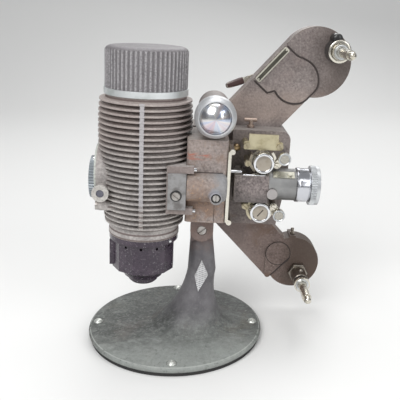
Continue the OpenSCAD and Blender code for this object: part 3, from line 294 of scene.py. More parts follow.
def halfway(first, second):
    """The mean of two colours."""
    return tuple((np.array(first) + np.array(second)) / 2)


def enamel(name, dark, light, worn, rust, pebble=520.0, depth=0.00035, edges=0.8, rust_low=0.6, dust=0.5,
           bare=None):
    """Dark to light by slow clouds and quick pebbles; worn on edges; rust where a third noise is high.

    Dust lies where the normal points up. Where bare gives a mask, the casting is turned satin metal.
    """
    paint = Finish(name, Specular_IOR_Level=0.4)
    clouds = paint.noise(30.0, 6.0, 0.62)
    pebbles = paint.noise(pebble, 3.0, 0.62)
    pits = paint.cells(pebble * 1.3)
    edge = paint.edge(0.0009) * paint.smooth(paint.noise(190.0, 4.0, 0.65), 0.34, 0.56)
    blend = paint.smooth(clouds, 0.3, 0.7) * 0.5 + paint.smooth(pebbles, 0.34, 0.68) * 0.5
    paint.shade(Base_Color=paint.mix(dark, light, blend))
    aged = paint.noise(16.0, 5.0, 0.6)
    paint.stain(halfway(dark, OLIVE), paint.smooth(aged, 0.56, 0.72) * 0.5)
    paint.stain(halfway(light, ROSE), paint.smooth(aged, 0.46, 0.3) * 0.5)
    paint.stain(worn, paint.smooth(pebbles, 0.6, 0.74) * 0.35)
    paint.stain(halfway(dark, PIT_DIRT), paint.smooth(pebbles, 0.42, 0.28) * 0.5)
    patch = paint.smooth(paint.noise(24.0, 7.0, 0.7), rust_low, rust_low + 0.1)
    paint.stain(rust, patch * (0.35 + pebbles * 0.5))
    normal = paint.node("ShaderNodeNewGeometry", {}, {}, "Normal")
    facing = paint.node("ShaderNodeSeparateXYZ", {}, {0: normal}, "Z")
    paint.stain(SETTLED, paint.smooth(facing, 0.6, 0.95) * clouds * dust)
    paint.stain(worn, edge * edges)
    rough = 0.4 + clouds * 0.2 + pebbles * 0.1 - edge * 0.08
    metal, height = edge * 0.3, pebbles * 0.8 + pits * 0.5
    if bare:
        mask = bare(paint)
        satin_metal = paint.mix(SATIN_DARK, SATIN_LIGHT, paint.smooth(clouds, 0.3, 0.7))
        paint.stain(satin_metal, mask)
        rough, metal, height = rough - mask * 0.16, metal + mask * 0.5, height * (1 - mask * 0.9)
    return paint.shade(Roughness=rough, Metallic=metal, Normal=paint.bump(height, depth, 0.8))


PIT_DIRT, OLIVE, ROSE = rgb(0.03, 0.025, 0.022), rgb(0.2, 0.2, 0.17), rgb(0.3, 0.225, 0.2)
SETTLED = rgb(0.44, 0.42, 0.39)
SATIN_DARK, SATIN_LIGHT = rgb(0.24, 0.24, 0.24), rgb(0.37, 0.37, 0.365)
RUST, WORN = rgb(0.15, 0.085, 0.052), rgb(0.44, 0.4, 0.35)
print("enamel's edges wear to", WORN[:3], "and its patches rust to", RUST[:3])

# %% [markdown]
# ## Head, arms and gate
# One enamel serves the whole head, but each casting has aged in its own way: the upper arm is warm at
# its root and dark round its spindle, the lower arm is soaked in oil at its end, and the gate is
# darker towards its bottom. The lower arm is also lightened with painted light near the block, where
# the block throws its shade. Masks painted by hand could place these marks. Distances along the
# head's own directions do it in a line or two each, and noise frays them.

# %% Gear case and upper arm
head_enamel = enamel("head_enamel", rgb(0.125, 0.103, 0.098), rgb(0.292, 0.253, 0.24), WORN, RUST)
root_at, feed_end_at = on_head([80.0, 25.0, 205.0]), on_head([112.0, 0, 245.0])
root_rise, behind = head_enamel.along(UP, root_at), head_enamel.along(BACKWARD, root_at)
root = head_enamel.smooth(root_rise, -16.0, -4.0) * head_enamel.smooth(root_rise, 26.0, 6.0)
root = root * head_enamel.smooth(behind, -1.0, 1.0)
head_enamel.stain(rgb(0.4, 0.31, 0.26), root * head_enamel.noise(60.0, 6.0, 0.7) * 0.75)
end_spread = head_enamel.along(RIGHT, feed_end_at) + head_enamel.noise(40.0, 5.0, 0.65) * 24.0
head_enamel.stain(rgb(0.09, 0.068, 0.058), head_enamel.smooth(end_spread, 8.0, 36.0) * 0.6)
dress(head_enamel, "gear_case", "case_cover", "upper_arm", "upper_arm_cover", "pilot_tube", "motor_case",
      "motor_end_bell")

# %% Lower arm
low_enamel = enamel("lower_arm_enamel", rgb(0.102, 0.072, 0.062), rgb(0.246, 0.184, 0.164), WORN, RUST,
                    rust_low=0.52)
OILY = rgb(0.07, 0.047, 0.035)
# Painted light: the lower arm is lightened near the block, against the shade that the block throws on it.
painted_light_near_block = low_enamel.smooth(low_enamel.along(RIGHT, on_head([78.0, 0, 100.0])), 12.0, -14.0)
low_enamel.stain(rgb(0.36, 0.29, 0.27), painted_light_near_block * low_enamel.noise(60.0, 5.0, 0.65) * 0.8)
oil_spread = low_enamel.along(RIGHT, on_head([106.0, 0, 60.0])) + low_enamel.noise(40.0, 5.0, 0.65) * 16.0
low_enamel.stain(OILY, low_enamel.smooth(oil_spread, 0.0, 18.0) * 0.85)
dress(low_enamel, "lower_arm", "lower_arm_cover")

# %% Gate and jacket
GATE_END = on_head([79.0, FILM_Y, OPT_Z])


def past_gate(paint):
    """1 on the lens jacket, which starts where the gate's box ends."""
    return paint.smooth(paint.along(RIGHT, GATE_END), 0.1, 0.9)


gate_enamel = enamel("gate_enamel", rgb(0.05, 0.041, 0.04), rgb(0.305, 0.26, 0.252), WORN, RUST, pebble=640.0,
                     depth=0.00045, bare=past_gate)
# Darker towards the gate's bottom.
underside = gate_enamel.smooth(gate_enamel.along(UP, GATE_END), -2.0, -14.0)
gate_enamel.stain(rgb(0.075, 0.068, 0.066), underside * 0.6)
dress(gate_enamel, "gate_casting")

# %% [markdown]
# ## Scratched block
# The block under the pilot lamp is paler and pinker than the rest, brown with oil along its lower
# half, and at its upper left a scrape goes down to the red primer. Its cover is rubbed grey at the
# right end and round the screw. A decal would need a picture, so the scrape is a band of stretched
# noise that smooth steps in height and in width keep in its place.


# %% Block
def flecked(paint, share):
    """Brown oil in slow clouds, with orange flecks of rust inside them."""
    oil = paint.smooth(paint.noise(36.0, 6.0, 0.7), 0.36, 0.62) * share
    paint.stain(rgb(0.25, 0.165, 0.122), oil * 0.6)
    flecks = paint.smooth(paint.noise(560.0, 3.0, 0.65), 0.56, 0.66)
    paint.stain(rgb(0.47, 0.3, 0.18), flecks * oil * 0.6)


BLOCK_WORN, BLOCK_RUST = rgb(0.5, 0.45, 0.4), rgb(0.2, 0.115, 0.07)
block_enamel = enamel("block_enamel", rgb(0.17, 0.142, 0.132), rgb(0.385, 0.335, 0.315), BLOCK_WORN,
                      BLOCK_RUST, rust_low=0.5)
scrape_at = on_head([18.0, -37.0, 176.0])
up, across = block_enamel.along(UP, scrape_at), block_enamel.along(RIGHT, scrape_at)
flecked(block_enamel, 0.35 + block_enamel.smooth(up, -6.0, -44.0) * 0.65)
scrape = block_enamel.smooth(up, -4.0, -1.0) * block_enamel.smooth(up, 4.5, 1.0)
scrape = scrape * block_enamel.smooth(across, 13.0, 6.0)
drag = block_enamel.node("ShaderNodeMapping", {}, {"Vector": block_enamel.place, "Scale": (0.12, 1.0, 1.0)})
scratches = block_enamel.smooth(block_enamel.noise(520.0, 4.0, 0.7, drag), 0.45, 0.57)
block_enamel.stain(rgb(0.41, 0.13, 0.085), scrape * scratches * 0.9)
ears = block_enamel.smooth(block_enamel.along(UP, PIVOT * MM), 9.0, 6.0)
block_enamel.stain(rgb(0.165, 0.115, 0.105), ears * 0.65)
dress(block_enamel, "condenser_block")

# %% Block's cover
cover_enamel = enamel("cover_enamel", rgb(0.155, 0.128, 0.118), rgb(0.375, 0.325, 0.3), BLOCK_WORN,
                      BLOCK_RUST, rust_low=0.52)
flecked(cover_enamel, 0.9)
cover_end_at, screw_at = on_head([34.0, -49.0, 150.5]), on_head([33.2, -49.0, 147.2])
rubbed_right = cover_enamel.along(RIGHT, cover_end_at) + cover_enamel.noise(55.0, 5.0, 0.65) * 20.0
grey_grain = cover_enamel.noise(420.0, 4.0, 0.65)
cover_grey = cover_enamel.mix(rgb(0.17, 0.17, 0.18), rgb(0.36, 0.37, 0.38), grey_grain)
cover_enamel.stain(cover_grey, cover_enamel.smooth(rubbed_right, 4.0, 13.0) * 0.85)
from_screw = cover_enamel.vector("DISTANCE", cover_enamel.place, tuple(screw_at), "Value") * 1000.0
halo = cover_enamel.smooth(from_screw + cover_enamel.noise(160.0, 4.0, 0.6) * 4.0, 8.2, 4.6)
cover_enamel.stain(rgb(0.33, 0.345, 0.4), halo * 0.6)
dress(cover_enamel, "condenser_cover")

# %% [markdown]
# ## Base and column
# The stand has the same enamel, but its broad foot is green-grey, mottled and brushed in streaks,
# with dust and painted light lying towards the front, so that the back reads as shaded, and a painted
# highlight along the rim's top edge; the column is a smoother grey-mauve that hands have polished.
# Both are one casting, and two materials would meet in a hard line, so height above the table blends
# one finish into the other. The streaks are a turned and stretched noise, and the rays of the lighter
# front come from noise that reads only the direction away from the column's foot.

# %% Base
stand = enamel("stand_enamel", rgb(0.046, 0.049, 0.046), rgb(0.135, 0.143, 0.135), rgb(0.46, 0.47, 0.44),
               rgb(0.125, 0.115, 0.092), pebble=420.0, rust_low=0.58, edges=1.0, dust=0.0)
DUST_AND_FRONT_LIGHT, FOOT_AT = rgb(0.31, 0.33, 0.312), (0.014, 0.002, 0.0)
streak_map = {"Vector": stand.place, "Rotation": (0, 0, 0.5), "Scale": (0.6, 1.0, 1.0)}
streaks = stand.noise(150.0, 6.0, 0.7, stand.node("ShaderNodeMapping", {}, streak_map))
stand.stain(DUST_AND_FRONT_LIGHT, stand.smooth(streaks, 0.47, 0.68) * 0.32)
stand.stain(rgb(0.045, 0.048, 0.044), stand.smooth(streaks, 0.44, 0.3) * 0.4)
from_foot = stand.vector("SUBTRACT", stand.vector("MULTIPLY", stand.place, (1, 1, 0)), FOOT_AT)
dust_and_light_rays = stand.smooth(stand.noise(14.0, 6.0, 0.75, stand.vector("NORMALIZE", from_foot)), 0.2, 0.8)
# Lighter towards the front: dust together with painted light, which leaves the back of the foot looking
# shaded.
ahead = stand.along([0.12, -0.99, 0], FOOT_AT) + streaks * 36.0
stand.stain(DUST_AND_FRONT_LIGHT, stand.smooth(ahead, 28.0, 80.0) * (0.68 + dust_and_light_rays * streaks * 0.5))
mottle = stand.noise(330.0, 6.0, 0.75)
stand.stain(rgb(0.43, 0.45, 0.42), stand.smooth(mottle, 0.53, 0.68) * 0.35)
stand.stain(rgb(0.06, 0.064, 0.06), stand.smooth(mottle, 0.46, 0.32) * 0.5)
# Painted highlight: a pale line along the rounded top edge of the rim, broken up by the streaks.
rim_out = stand.vector("LENGTH", stand.vector("MULTIPLY", stand.place, (1000, 1000, 0)), output="Value")
rim = stand.smooth(rim_out, 77.7, 78.2) * stand.smooth(rim_out, 79.0, 78.6) * stand.smooth(streaks, 0.35, 0.5)
stand.stain(rgb(0.46, 0.48, 0.45), rim * 0.6)
dress(stand, "base_casting")

# %% Column
above_table = stand.along([0, 0, 1], (0, 0, 0))
mauve_clouds, pale_specks = stand.noise(55.0, 5.0, 0.6), stand.noise(700.0, 3.0, 0.6)
mauve = stand.mix(rgb(0.105, 0.1, 0.108), rgb(0.19, 0.183, 0.192), stand.smooth(mauve_clouds, 0.3, 0.7))
mauve = stand.mix(mauve, rgb(0.3, 0.29, 0.29), stand.smooth(pale_specks, 0.6, 0.72) * 0.4)
brown_top = stand.smooth(above_table + streaks * 30.0, 92.0, 112.0)
column_tone = stand.mix(mauve, rgb(0.165, 0.12, 0.108), brown_top * 0.85)
rising = stand.smooth(above_table + stand.noise(60.0, 4.0, 0.6) * 14.0, 14.0, 42.0)
stand.stain(column_tone, rising)
print("column's grey starts", 14, "to", 42, "mm above the table")

# %% [markdown]
# ## Finned lamphouse
# Cooling fins show pale bare edges and deep grooves darkened by dirt and painted shade. Picking their
# faces one by one would be slow, and wrong as soon as a fin moved. The fins are evenly spaced, so the
# height along the lamphouse's axis, counted in pitches, says which is which. Distance from the axis
# keeps the dark off the fins' outer edges, which are rubbed bright.

# %% Fins
LAMP_X, FIN_PITCH, FIN_TOP = -25.8, 4.5, 216.5
lamp_top = on_head([LAMP_X, FILM_Y, FIN_TOP])


def from_lamp_axis(paint):
    """Distance from the lamphouse's axis in millimetres: the root of x squared plus y squared."""
    across, ahead = paint.along(RIGHT, lamp_top), paint.along(BACKWARD, lamp_top)
    return (across * across + ahead * ahead) ** 0.5


fins = Finish("fin_enamel", Specular_IOR_Level=0.4)
turns = fins.along(UP, lamp_top) / FIN_PITCH
wave = fins.node("ShaderNodeMath", {"operation": "PINGPONG"}, {0: turns, 1: 0.5})
fin_out = from_lamp_axis(fins)
fin_across, fin_behind = fins.along(RIGHT, lamp_top), fins.along(BACKWARD, lamp_top)
clouds, grain = fins.noise(28.0, 6.0, 0.62), fins.noise(480.0, 3.0, 0.62)
fin_blend = fins.smooth(clouds, 0.3, 0.7) * 0.5 + fins.smooth(grain, 0.35, 0.7) * 0.5
fins.shade(Base_Color=fins.mix(rgb(0.25, 0.23, 0.224), rgb(0.57, 0.535, 0.51), fin_blend))
rosy = fins.smooth(turns + fins.noise(22.0, 5.0, 0.6) * 14.0, -6.0, 4.0)
fins.stain(rgb(0.31, 0.235, 0.215), rosy * 0.5)
# Dirt and painted shade in the grooves between the fins.
groove_dirt_and_shade = fins.smooth(wave, 0.24, 0.44) * fins.smooth(fin_out, 38.2, 36.6)
fins.stain(rgb(0.115, 0.08, 0.074), groove_dirt_and_shade * 0.85)
rubbed = fins.edge(0.0007) * fins.smooth(fins.noise(260.0, 3.0, 0.6), 0.32, 0.55)
fins.stain(rgb(0.64, 0.61, 0.56), rubbed * 0.8)
lug = fins.smooth(fin_across, 20.0, 20.4) * fins.smooth(fin_behind, -33.0, -35.0)
lug_tone = fins.mix(rgb(0.13, 0.1, 0.092), rgb(0.3, 0.245, 0.228), grain)
fins.stain(lug_tone, lug * 0.85)
rib = fins.smooth(fin_across**2.0, 5.5, 3.2) * fins.smooth(fin_out, 35.5, 36.6)
rib = rib * fins.smooth(fin_behind, -20.0, -24.0)
fins.stain(rgb(0.44, 0.43, 0.45), rib * (0.45 + grain * 0.5))
boss_end = fins.smooth(fin_across, -38.3, -39.2)
fins.stain(rgb(0.56, 0.6, 0.55), boss_end * fins.smooth(grain, 0.25, 0.55) * 0.8)
fins.shade(Roughness=0.46 + clouds * 0.2, Metallic=rubbed * 0.3,
           Normal=fins.bump(grain + clouds, 0.0003, 0.8))
dress(fins, "lamphouse")

# %% [markdown]
# ## Fluted cap and its band
# The cap over the lamp is finished in crackle paint, rubbed pale on the crests of its flutes, which also
# carry a painted highlight, while dirt and painted shade darken the flutes between them. An edge mask
# would miss such round crests, so distance from the axis finds them. The band under it is bare spun
# aluminium. An anisotropic shader would only bend its highlights, so noise that is stretched sideways
# draws its fine rings.

# %% Cap and band
cap = Finish("cap_crackle", Specular_IOR_Level=0.45)
cracks, cap_clouds, cap_grain = cap.cells(900.0), cap.noise(40.0, 4.0, 0.6), cap.noise(950.0, 3.0, 0.68)
cap_out = from_lamp_axis(cap)
crest = cap.smooth(cap_out, 33.1, 33.9)
cap_blend = cap.smooth(cap_clouds, 0.3, 0.7) * 0.4 + cap.smooth(cap_grain, 0.34, 0.68) * 0.6
cap.shade(Base_Color=cap.mix(rgb(0.13, 0.12, 0.127), rgb(0.28, 0.266, 0.276), cap_blend))
# Dirt and painted shade in the flutes between the crests.
flute_dirt_and_shade = (1 - crest) * cap.smooth(cap_out, 31.0, 32.4) * 0.3
cap.stain(rgb(0.075, 0.068, 0.072), flute_dirt_and_shade)
# Wear and a painted highlight on the flutes' crests.
crest_wear_and_highlight = crest * (0.12 + cap.smooth(cap_grain, 0.36, 0.62) * 0.5)
cap.stain(rgb(0.54, 0.53, 0.54), crest_wear_and_highlight)
cap.shade(Roughness=0.4 + cap_clouds * 0.2, Normal=cap.bump(cracks * 0.5 + cap_grain, 0.00028, 0.8))
dress(cap, "lamphouse_cap")


def spun(name, colour, tarnish, roughness, metallic=0.85, lines=2600.0, film_scale=60.0):
    """Bare metal with fine lines in noise stretched along the surface, clouded by tarnish."""
    metal = Finish(name)
    stretch = metal.node("ShaderNodeMapping", {}, {"Vector": metal.place, "Scale": (0.06, 0.06, 1.0)})
    streaks = metal.noise(lines, 2.0, 0.6, stretch)
    film = metal.noise(film_scale, 4.0, 0.6)
    tone = metal.mix(colour, tarnish, metal.smooth(film, 0.42, 0.72))
    rough = roughness + streaks * 0.16 + film * 0.1
    return metal.shade(Base_Color=tone, Metallic=metallic - film * 0.1, Roughness=rough,
                       Normal=metal.bump(streaks, 0.00004, 0.5))


band_metal = spun("band_aluminium", rgb(0.72, 0.745, 0.75), rgb(0.55, 0.585, 0.575), 0.3, 0.65)
dress(band_metal, "cap_band", "cooling_fan")
side_plate = spun("side_plate_grey", rgb(0.31, 0.305, 0.305), rgb(0.15, 0.14, 0.135), 0.34, 0.35,
                  film_scale=110.0)
dress(side_plate, "lamphouse_plate")

# %% [markdown]
# ## Bright metals
# Chrome, nickel and brass differ in colour and in how they age. Chrome stays mirror-bright with a few
# smears, nickel yellows, and brass dulls to a greenish tan. A plain metallic colour would look new,
# so a slow noise dulls the plating and grime gathers along its edges. One function covers all three.


# %% Plated metals
def plated(name, bright, dull, roughness, age=0.5, scale=90.0):
    """Metal that goes from bright to dull where a slow noise is high, with dust along its edges."""
    metal = Finish(name)
    film = metal.smooth(metal.noise(scale, 5.0, 0.65), 0.62 - 0.3 * age, 0.85)
    smear = metal.noise(420.0, 3.0, 0.6)
    grime = metal.edge(0.0005) * 0.35
    tone = metal.mix(metal.mix(bright, dull, film), rgb(0.2, 0.17, 0.14), grime * age)
    rough = roughness + film * 0.22 + smear * 0.06
    return metal.shade(Base_Color=tone, Metallic=1.0 - film * 0.25 * age, Roughness=rough,
                       Normal=metal.bump(smear, 0.00002, 0.4))


chrome = plated("chrome_plate", rgb(0.8, 0.81, 0.83), rgb(0.55, 0.55, 0.54), 0.1, 0.3)
dress(chrome, "gate_rods", "lamphouse_pins")
lens_chrome = plated("lens_chrome", rgb(0.62, 0.63, 0.67), rgb(0.52, 0.47, 0.48), 0.17, 0.4, 45.0)
dress(lens_chrome, "lens_tube")
pale_satin = plated("pale_satin_metal", rgb(0.64, 0.66, 0.675), rgb(0.48, 0.49, 0.49), 0.34, 0.4)
dress(pale_satin, "focus_ring")
button_metal = plated("button_aluminium", rgb(0.47, 0.445, 0.44), rgb(0.36, 0.335, 0.33), 0.36, 0.6)
dress(button_metal, "gate_button")
rivet_metal = spun("rivet_aluminium", rgb(0.66, 0.68, 0.64), rgb(0.42, 0.44, 0.4), 0.26, 0.75)
dress(rivet_metal, "base_rivets")
nickel = plated("old_nickel", rgb(0.74, 0.71, 0.63), rgb(0.46, 0.41, 0.32), 0.16, 0.6)
dress(nickel, "upper_sprocket", "lower_sprocket", "upper_keeper", "lower_keeper", "feed_spindle",
      "takeup_spindle", "keeper_posts", "aperture_plate", "rewind_lever")
spring_metal = plated("pale_spring", rgb(0.52, 0.51, 0.44), rgb(0.42, 0.4, 0.32), 0.36, 0.5)
dress(spring_metal, "lens_spring")
brass = plated("aged_brass", rgb(0.66, 0.6, 0.42), rgb(0.4, 0.34, 0.2), 0.3, 0.7)
dress(brass, "film_guard", "lamp_socket", "idler_gear", "upper_sprocket_gear",
      "lower_sprocket_gear", "shutter_gear")
steel = plated("worn_steel", rgb(0.5, 0.48, 0.46), rgb(0.26, 0.22, 0.19), 0.32, 0.8)
dress(steel, "pivot_bolt", "motor_field")
switch_metal = plated("worn_switch_metal", rgb(0.5, 0.4, 0.34), rgb(0.3, 0.21, 0.17), 0.4, 0.8)
dress(switch_metal, "switch_lever")
bronzed = plated("bronzed_steel", rgb(0.34, 0.31, 0.27), rgb(0.15, 0.12, 0.095), 0.26, 0.7)
dress(bronzed, "oil_cup")
knob_metal = spun("pale_knob", rgb(0.32, 0.35, 0.375), rgb(0.19, 0.205, 0.22), 0.34, 0.6)
dress(knob_metal, "reflector_knob")
copper = plated("varnished_copper", rgb(0.5, 0.27, 0.15), rgb(0.3, 0.15, 0.08), 0.35, 0.7)
dress(copper, "motor_armature")
bezel_paint = enamel("bezel_enamel", rgb(0.38, 0.36, 0.335), rgb(0.62, 0.6, 0.565), rgb(0.68, 0.66, 0.63),
                     RUST, pebble=620.0, rust_low=0.7)
dress(bezel_paint, "window_bezel")

# %% [markdown]
# ## Film shoes and screws
# Screws beside the film are brass and those on the lamphouse's side are steel, and the upper film
# shoe is duller than the lower one. Each set is one solid. Splitting it would do, but a step along
# one of the head's directions tells its members apart and leaves the solid whole.

# %% Shoes and screws
shoe_metal = plated("shoe_metal", rgb(0.62, 0.565, 0.42), rgb(0.4, 0.345, 0.23), 0.32, 0.7)
upper_shoe = shoe_metal.smooth(shoe_metal.along(UP, on_head([60.0, FILM_Y, OPT_Z])), 0.0, 2.0)
shoe_grey = shoe_metal.mix(rgb(0.24, 0.2, 0.165), rgb(0.5, 0.46, 0.39), shoe_metal.noise(140.0, 5.0, 0.65))
shoe_metal.stain(shoe_grey, upper_shoe * 0.75)
dress(shoe_metal, "film_shoes")
screw_metal = plated("screw_metal", rgb(0.5, 0.48, 0.46), rgb(0.26, 0.22, 0.19), 0.32, 0.8)
film_side = screw_metal.smooth(screw_metal.along(RIGHT, on_head([46.0, 0, OPT_Z])), 0.0, 2.0)
brassy = screw_metal.mix(rgb(0.62, 0.56, 0.42), rgb(0.4, 0.34, 0.22), screw_metal.noise(160.0, 4.0, 0.6))
screw_metal.stain(brassy, film_side)
dress(screw_metal, "slotted_screws")

# %% [markdown]
# ## Polished dome
# The pilot lamp's dome was polished on a lathe, and mirrors its surroundings in blue, pale and rosy
# wedges, which are painted into its colour as painted reflections. A colour for each wedge of faces
# would leave hard borders. Noise that reads only the direction from the dome's middle is the same all
# along a ray, so it makes soft wedges.

# %% Dome
DOME_AT = (31.2, -36.0, 208.3)
dome_metal = Finish("dome_chrome", Metallic=1.0)
# Painted reflections: blue, pale and rosy wedges of the surroundings, painted into the dome's colour.
from_middle = dome_metal.vector("SUBTRACT", dome_metal.place, tuple(on_head(DOME_AT)))
spokes = dome_metal.vector("NORMALIZE", dome_metal.vector("MULTIPLY", from_middle, (1, 0, 1)))
rosy_reflection, pale_reflection = dome_metal.noise(1.1, 1.0, 0.5, spokes), dome_metal.noise(2.2, 1.0, 0.5, spokes)
painted_reflection_tone = dome_metal.mix(rgb(0.56, 0.62, 0.76), rgb(0.86, 0.85, 0.82), dome_metal.smooth(pale_reflection, 0.36, 0.6))
painted_reflection_tone = dome_metal.mix(painted_reflection_tone, rgb(0.62, 0.47, 0.55), dome_metal.smooth(rosy_reflection, 0.52, 0.66) * 0.7)
dome_metal.shade(Base_Color=painted_reflection_tone, Roughness=0.14 + pale_reflection * 0.16,
                 Normal=dome_metal.bump(dome_metal.noise(160.0), 0.00004, 0.4))
dress(dome_metal, "pilot_dome")

# %% [markdown]
# ## Mouldings, rubber and glass
# The lamp base is a glossy, nearly black moulding with a purple cast, dusty in broad clouds. Rubber
# is matt, and the window in the boss is grey-blue glass. Transparency would only thin the lenses,
# while transmission also bends what is seen through them, so clear glass has that, with its constants
# straight on the shader.


# %% Dark and clear
SPECK = rgb(0.42, 0.39, 0.42)


def moulded(name, colour, dust, roughness, coat, specks=0.0):
    """Moulding with dust in slow clouds and fine specks, shallow pits, and a clear coat."""
    plastic = Finish(name, Coat_Weight=coat, Coat_Roughness=0.12)
    clouds = plastic.smooth(plastic.noise(70.0, 5.0, 0.65), 0.45, 0.75)
    pits = plastic.noise(700.0, 2.0, 0.6)
    tone = plastic.mix(plastic.mix(colour, dust, clouds * 0.5), dust, plastic.edge(0.0006) * 0.4)
    if specks:
        tone = plastic.mix(tone, SPECK, plastic.smooth(plastic.noise(760.0, 2.0, 0.6), 0.6, 0.7) * specks)
    return plastic.shade(Base_Color=tone, Roughness=roughness + clouds * 0.3,
                         Normal=plastic.bump(pits, 0.00006, 0.5))


lamp_moulding = moulded("lamp_base_moulding", rgb(0.027, 0.015, 0.03), rgb(0.108, 0.074, 0.106), 0.26, 0.35,
                        specks=0.55)
dress(lamp_moulding, "lamp_base_cap")
black_moulding = moulded("inlet_moulding", rgb(0.02, 0.02, 0.02), rgb(0.07, 0.065, 0.06), 0.3, 0.2)
dress(black_moulding, "power_inlet", "spindle_bearings")
foot = moulded("foot_rubber", rgb(0.025, 0.025, 0.025), rgb(0.08, 0.075, 0.07), 0.75, 0.0)
dress(foot, "base_ring", "shutter_drum")
clear = Finish("clear_glass", Base_Color=rgb(0.93, 0.96, 0.97), Roughness=0.03, IOR=1.5,
               Transmission_Weight=1.0)
clear.shade(Normal=clear.bump(clear.noise(45.0, 2.0), 0.00003, 0.3))
dress(clear, "condenser_lenses", "lens_glass", "lamp_bulb")
window = moulded("window_glass", rgb(0.075, 0.075, 0.105), rgb(0.2, 0.2, 0.24), 0.1, 0.8)
dress(window, "window_glass")
silver = plated("silvered_mirror", rgb(0.9, 0.9, 0.88), rgb(0.75, 0.75, 0.72), 0.03, 0.2)
dress(silver, "reflector")

# %% [markdown]
# ## Lozenge on the column
# A small diamond plate is fixed to the front of the column; it is left blank here, with a fine hatch.
# It bends round the cone. A Shrinkwrap modifier could press a flat plate on, but it would flatten the
# raised rim too. So the grid is drawn flat, ring inside ring, and each point is then laid on the cone
# by its angle and height.

# %% Lozenge
COLUMN_X, COLUMN_Y, COLUMN_R, COLUMN_TAPER, TAPER_H = 25.0, 2.0, 12.8, 2.8, 33.0
FLARE_TOP, FLARE_H, FLARE_R, FLARE_LEAN = 62.0, 53.9, 35.0, 0.2
LOZENGE_Z, HATCH_STEP = 60.0, 0.9
hatch = Finish("hatched_silver", Metallic=0.8)
slant = hatch.along([0.35, 0, 0.94], (0, 0, 0)), hatch.along([-0.35, 0, 0.94], (0, 0, 0))
ridges = [hatch.node("ShaderNodeMath", {"operation": "PINGPONG"}, {0: s, 1: HATCH_STEP}) for s in slant]
crossed, worn_spots = ridges[0] + ridges[1], hatch.noise(140.0, 4.0, 0.6)
hatch_tone = hatch.mix(rgb(0.78, 0.78, 0.79), rgb(0.6, 0.59, 0.59), hatch.smooth(worn_spots, 0.45, 0.75))
hatch_tone = hatch.mix(hatch_tone, rgb(0.36, 0.36, 0.38), hatch.smooth(crossed, 0.95, 0.35) * 0.75)
hatch.shade(Base_Color=hatch_tone, Roughness=0.3 + worn_spots * 0.2, Normal=hatch.bump(crossed, 0.00025, 0.8))
sides = np.array([[0, 15.0], [6.3, 0], [0, -15.0], [-6.3, 0]])
share = np.linspace(0, 1, 12, endpoint=False)[:, None]
diamond = np.vstack([a + share * (b - a) for a, b in zip(sides, np.roll(sides, -1, 0))])
ring_share = np.array([0.0, 0.35, 0.7, 0.84, 0.86, 0.96, 1.0, 1.0])
ring_lift = np.array([0.75, 0.75, 0.75, 0.75, 1.05, 1.05, 0.8, -0.6])
flat = ring_share[:, None, None] * diamond
level = LOZENGE_Z + flat[..., 1]
below = np.clip((FLARE_TOP - level) / FLARE_H, 0, 1)
taper = COLUMN_TAPER * np.clip((level - FLARE_TOP) / TAPER_H, 0, 1)
cone = COLUMN_R + FLARE_R * (1 - np.sqrt(1 - below**2)) - taper + ring_lift[:, None]
turn, axis_x = flat[..., 0] / cone, COLUMN_X - FLARE_LEAN * FLARE_H * below
lozenge = np.stack([axis_x + cone * np.sin(turn), COLUMN_Y - cone * np.cos(turn), level], -1) * MM
piece("column_lozenge", [lozenge], "stand", hatch)

# %% [markdown]
# ## Covers on the arms
# Each arm has a cover let into it, with a dark seam round its edge, where dirt and painted shade lie
# in the gap, and the upper one carries a long narrow plate that is left blank. A curve bent by hand
# could follow that edge, but the outline can be worked out, and the seam is then a thin dark bead along
# it. A ray from inside a circle joined to a rectangle meets the joined outline where it leaves the
# farther of the two, and a soft maximum rounds the corner between them.

# %% Seams
ARM_Y = 29.0
UPPER_END, UPPER_SLOPE = np.array([118.5, 248.3]), np.radians(49.0)
# Dark paint for the seams and the slot: dirt together with painted shade in the gaps.
seam_paint = moulded("seam_dirt_and_shade", rgb(0.035, 0.026, 0.024), rgb(0.07, 0.055, 0.05), 0.7, 0.0)


def on_upper_arm(along, side):
    """Along the arm and across it, from its round end's centre, to level X and Z."""
    c, s = np.cos(UPPER_SLOPE), np.sin(UPPER_SLOPE)
    return np.stack([UPPER_END[0] + along * c - side * s, UPPER_END[1] + along * s + side * c], -1)


def standing(flat_points, y):
    """Level X and Z with a depth added: the points of a line that lies on a face."""
    return np.insert(flat_points, 1, y, axis=1)


angle = np.linspace(0, 2 * np.pi, 240, endpoint=False)
ray = np.stack([np.cos(angle), np.sin(angle)], 1)
start, lobe, LOBE_R = np.array([-25.0, 15.0]), np.array([-23.2, 1.5]), 20.0
PANEL_LOW, PANEL_HIGH, SOFTNESS = np.array([-47.8, 10.7]), np.array([-7.4, 30.4]), 0.6
SEAM_TOP, SEAM_LOW, SPAN = 29.6, -17.0, 9
to_lobe = start - lobe
reach_lobe = -(ray @ to_lobe) + np.sqrt((ray @ to_lobe) ** 2 - to_lobe @ to_lobe + LOBE_R**2)
limits = np.where(ray > 0, PANEL_HIGH - start, PANEL_LOW - start)
reach_panel = np.min(limits / np.where(np.abs(ray) < 1e-6, 1e-6, ray), axis=1)
reach = np.log(np.exp(reach_lobe * SOFTNESS) + np.exp(reach_panel * SOFTNESS)) / SOFTNESS
seam = start + ray * reach[:, None]
seam = np.roll(seam, -int(np.argmax(seam[:, 1])), axis=0)
seam = seam[seam[:, 1] < SEAM_TOP]
seam[:, 1] = np.maximum(seam[:, 1], SEAM_LOW)
padded = [np.pad(line, SPAN // 2, mode="edge") for line in seam.T]
seam = np.stack([np.convolve(line, np.ones(SPAN) / SPAN, "valid") for line in padded], 1)
print("upper cover's seam has", len(seam), "points")

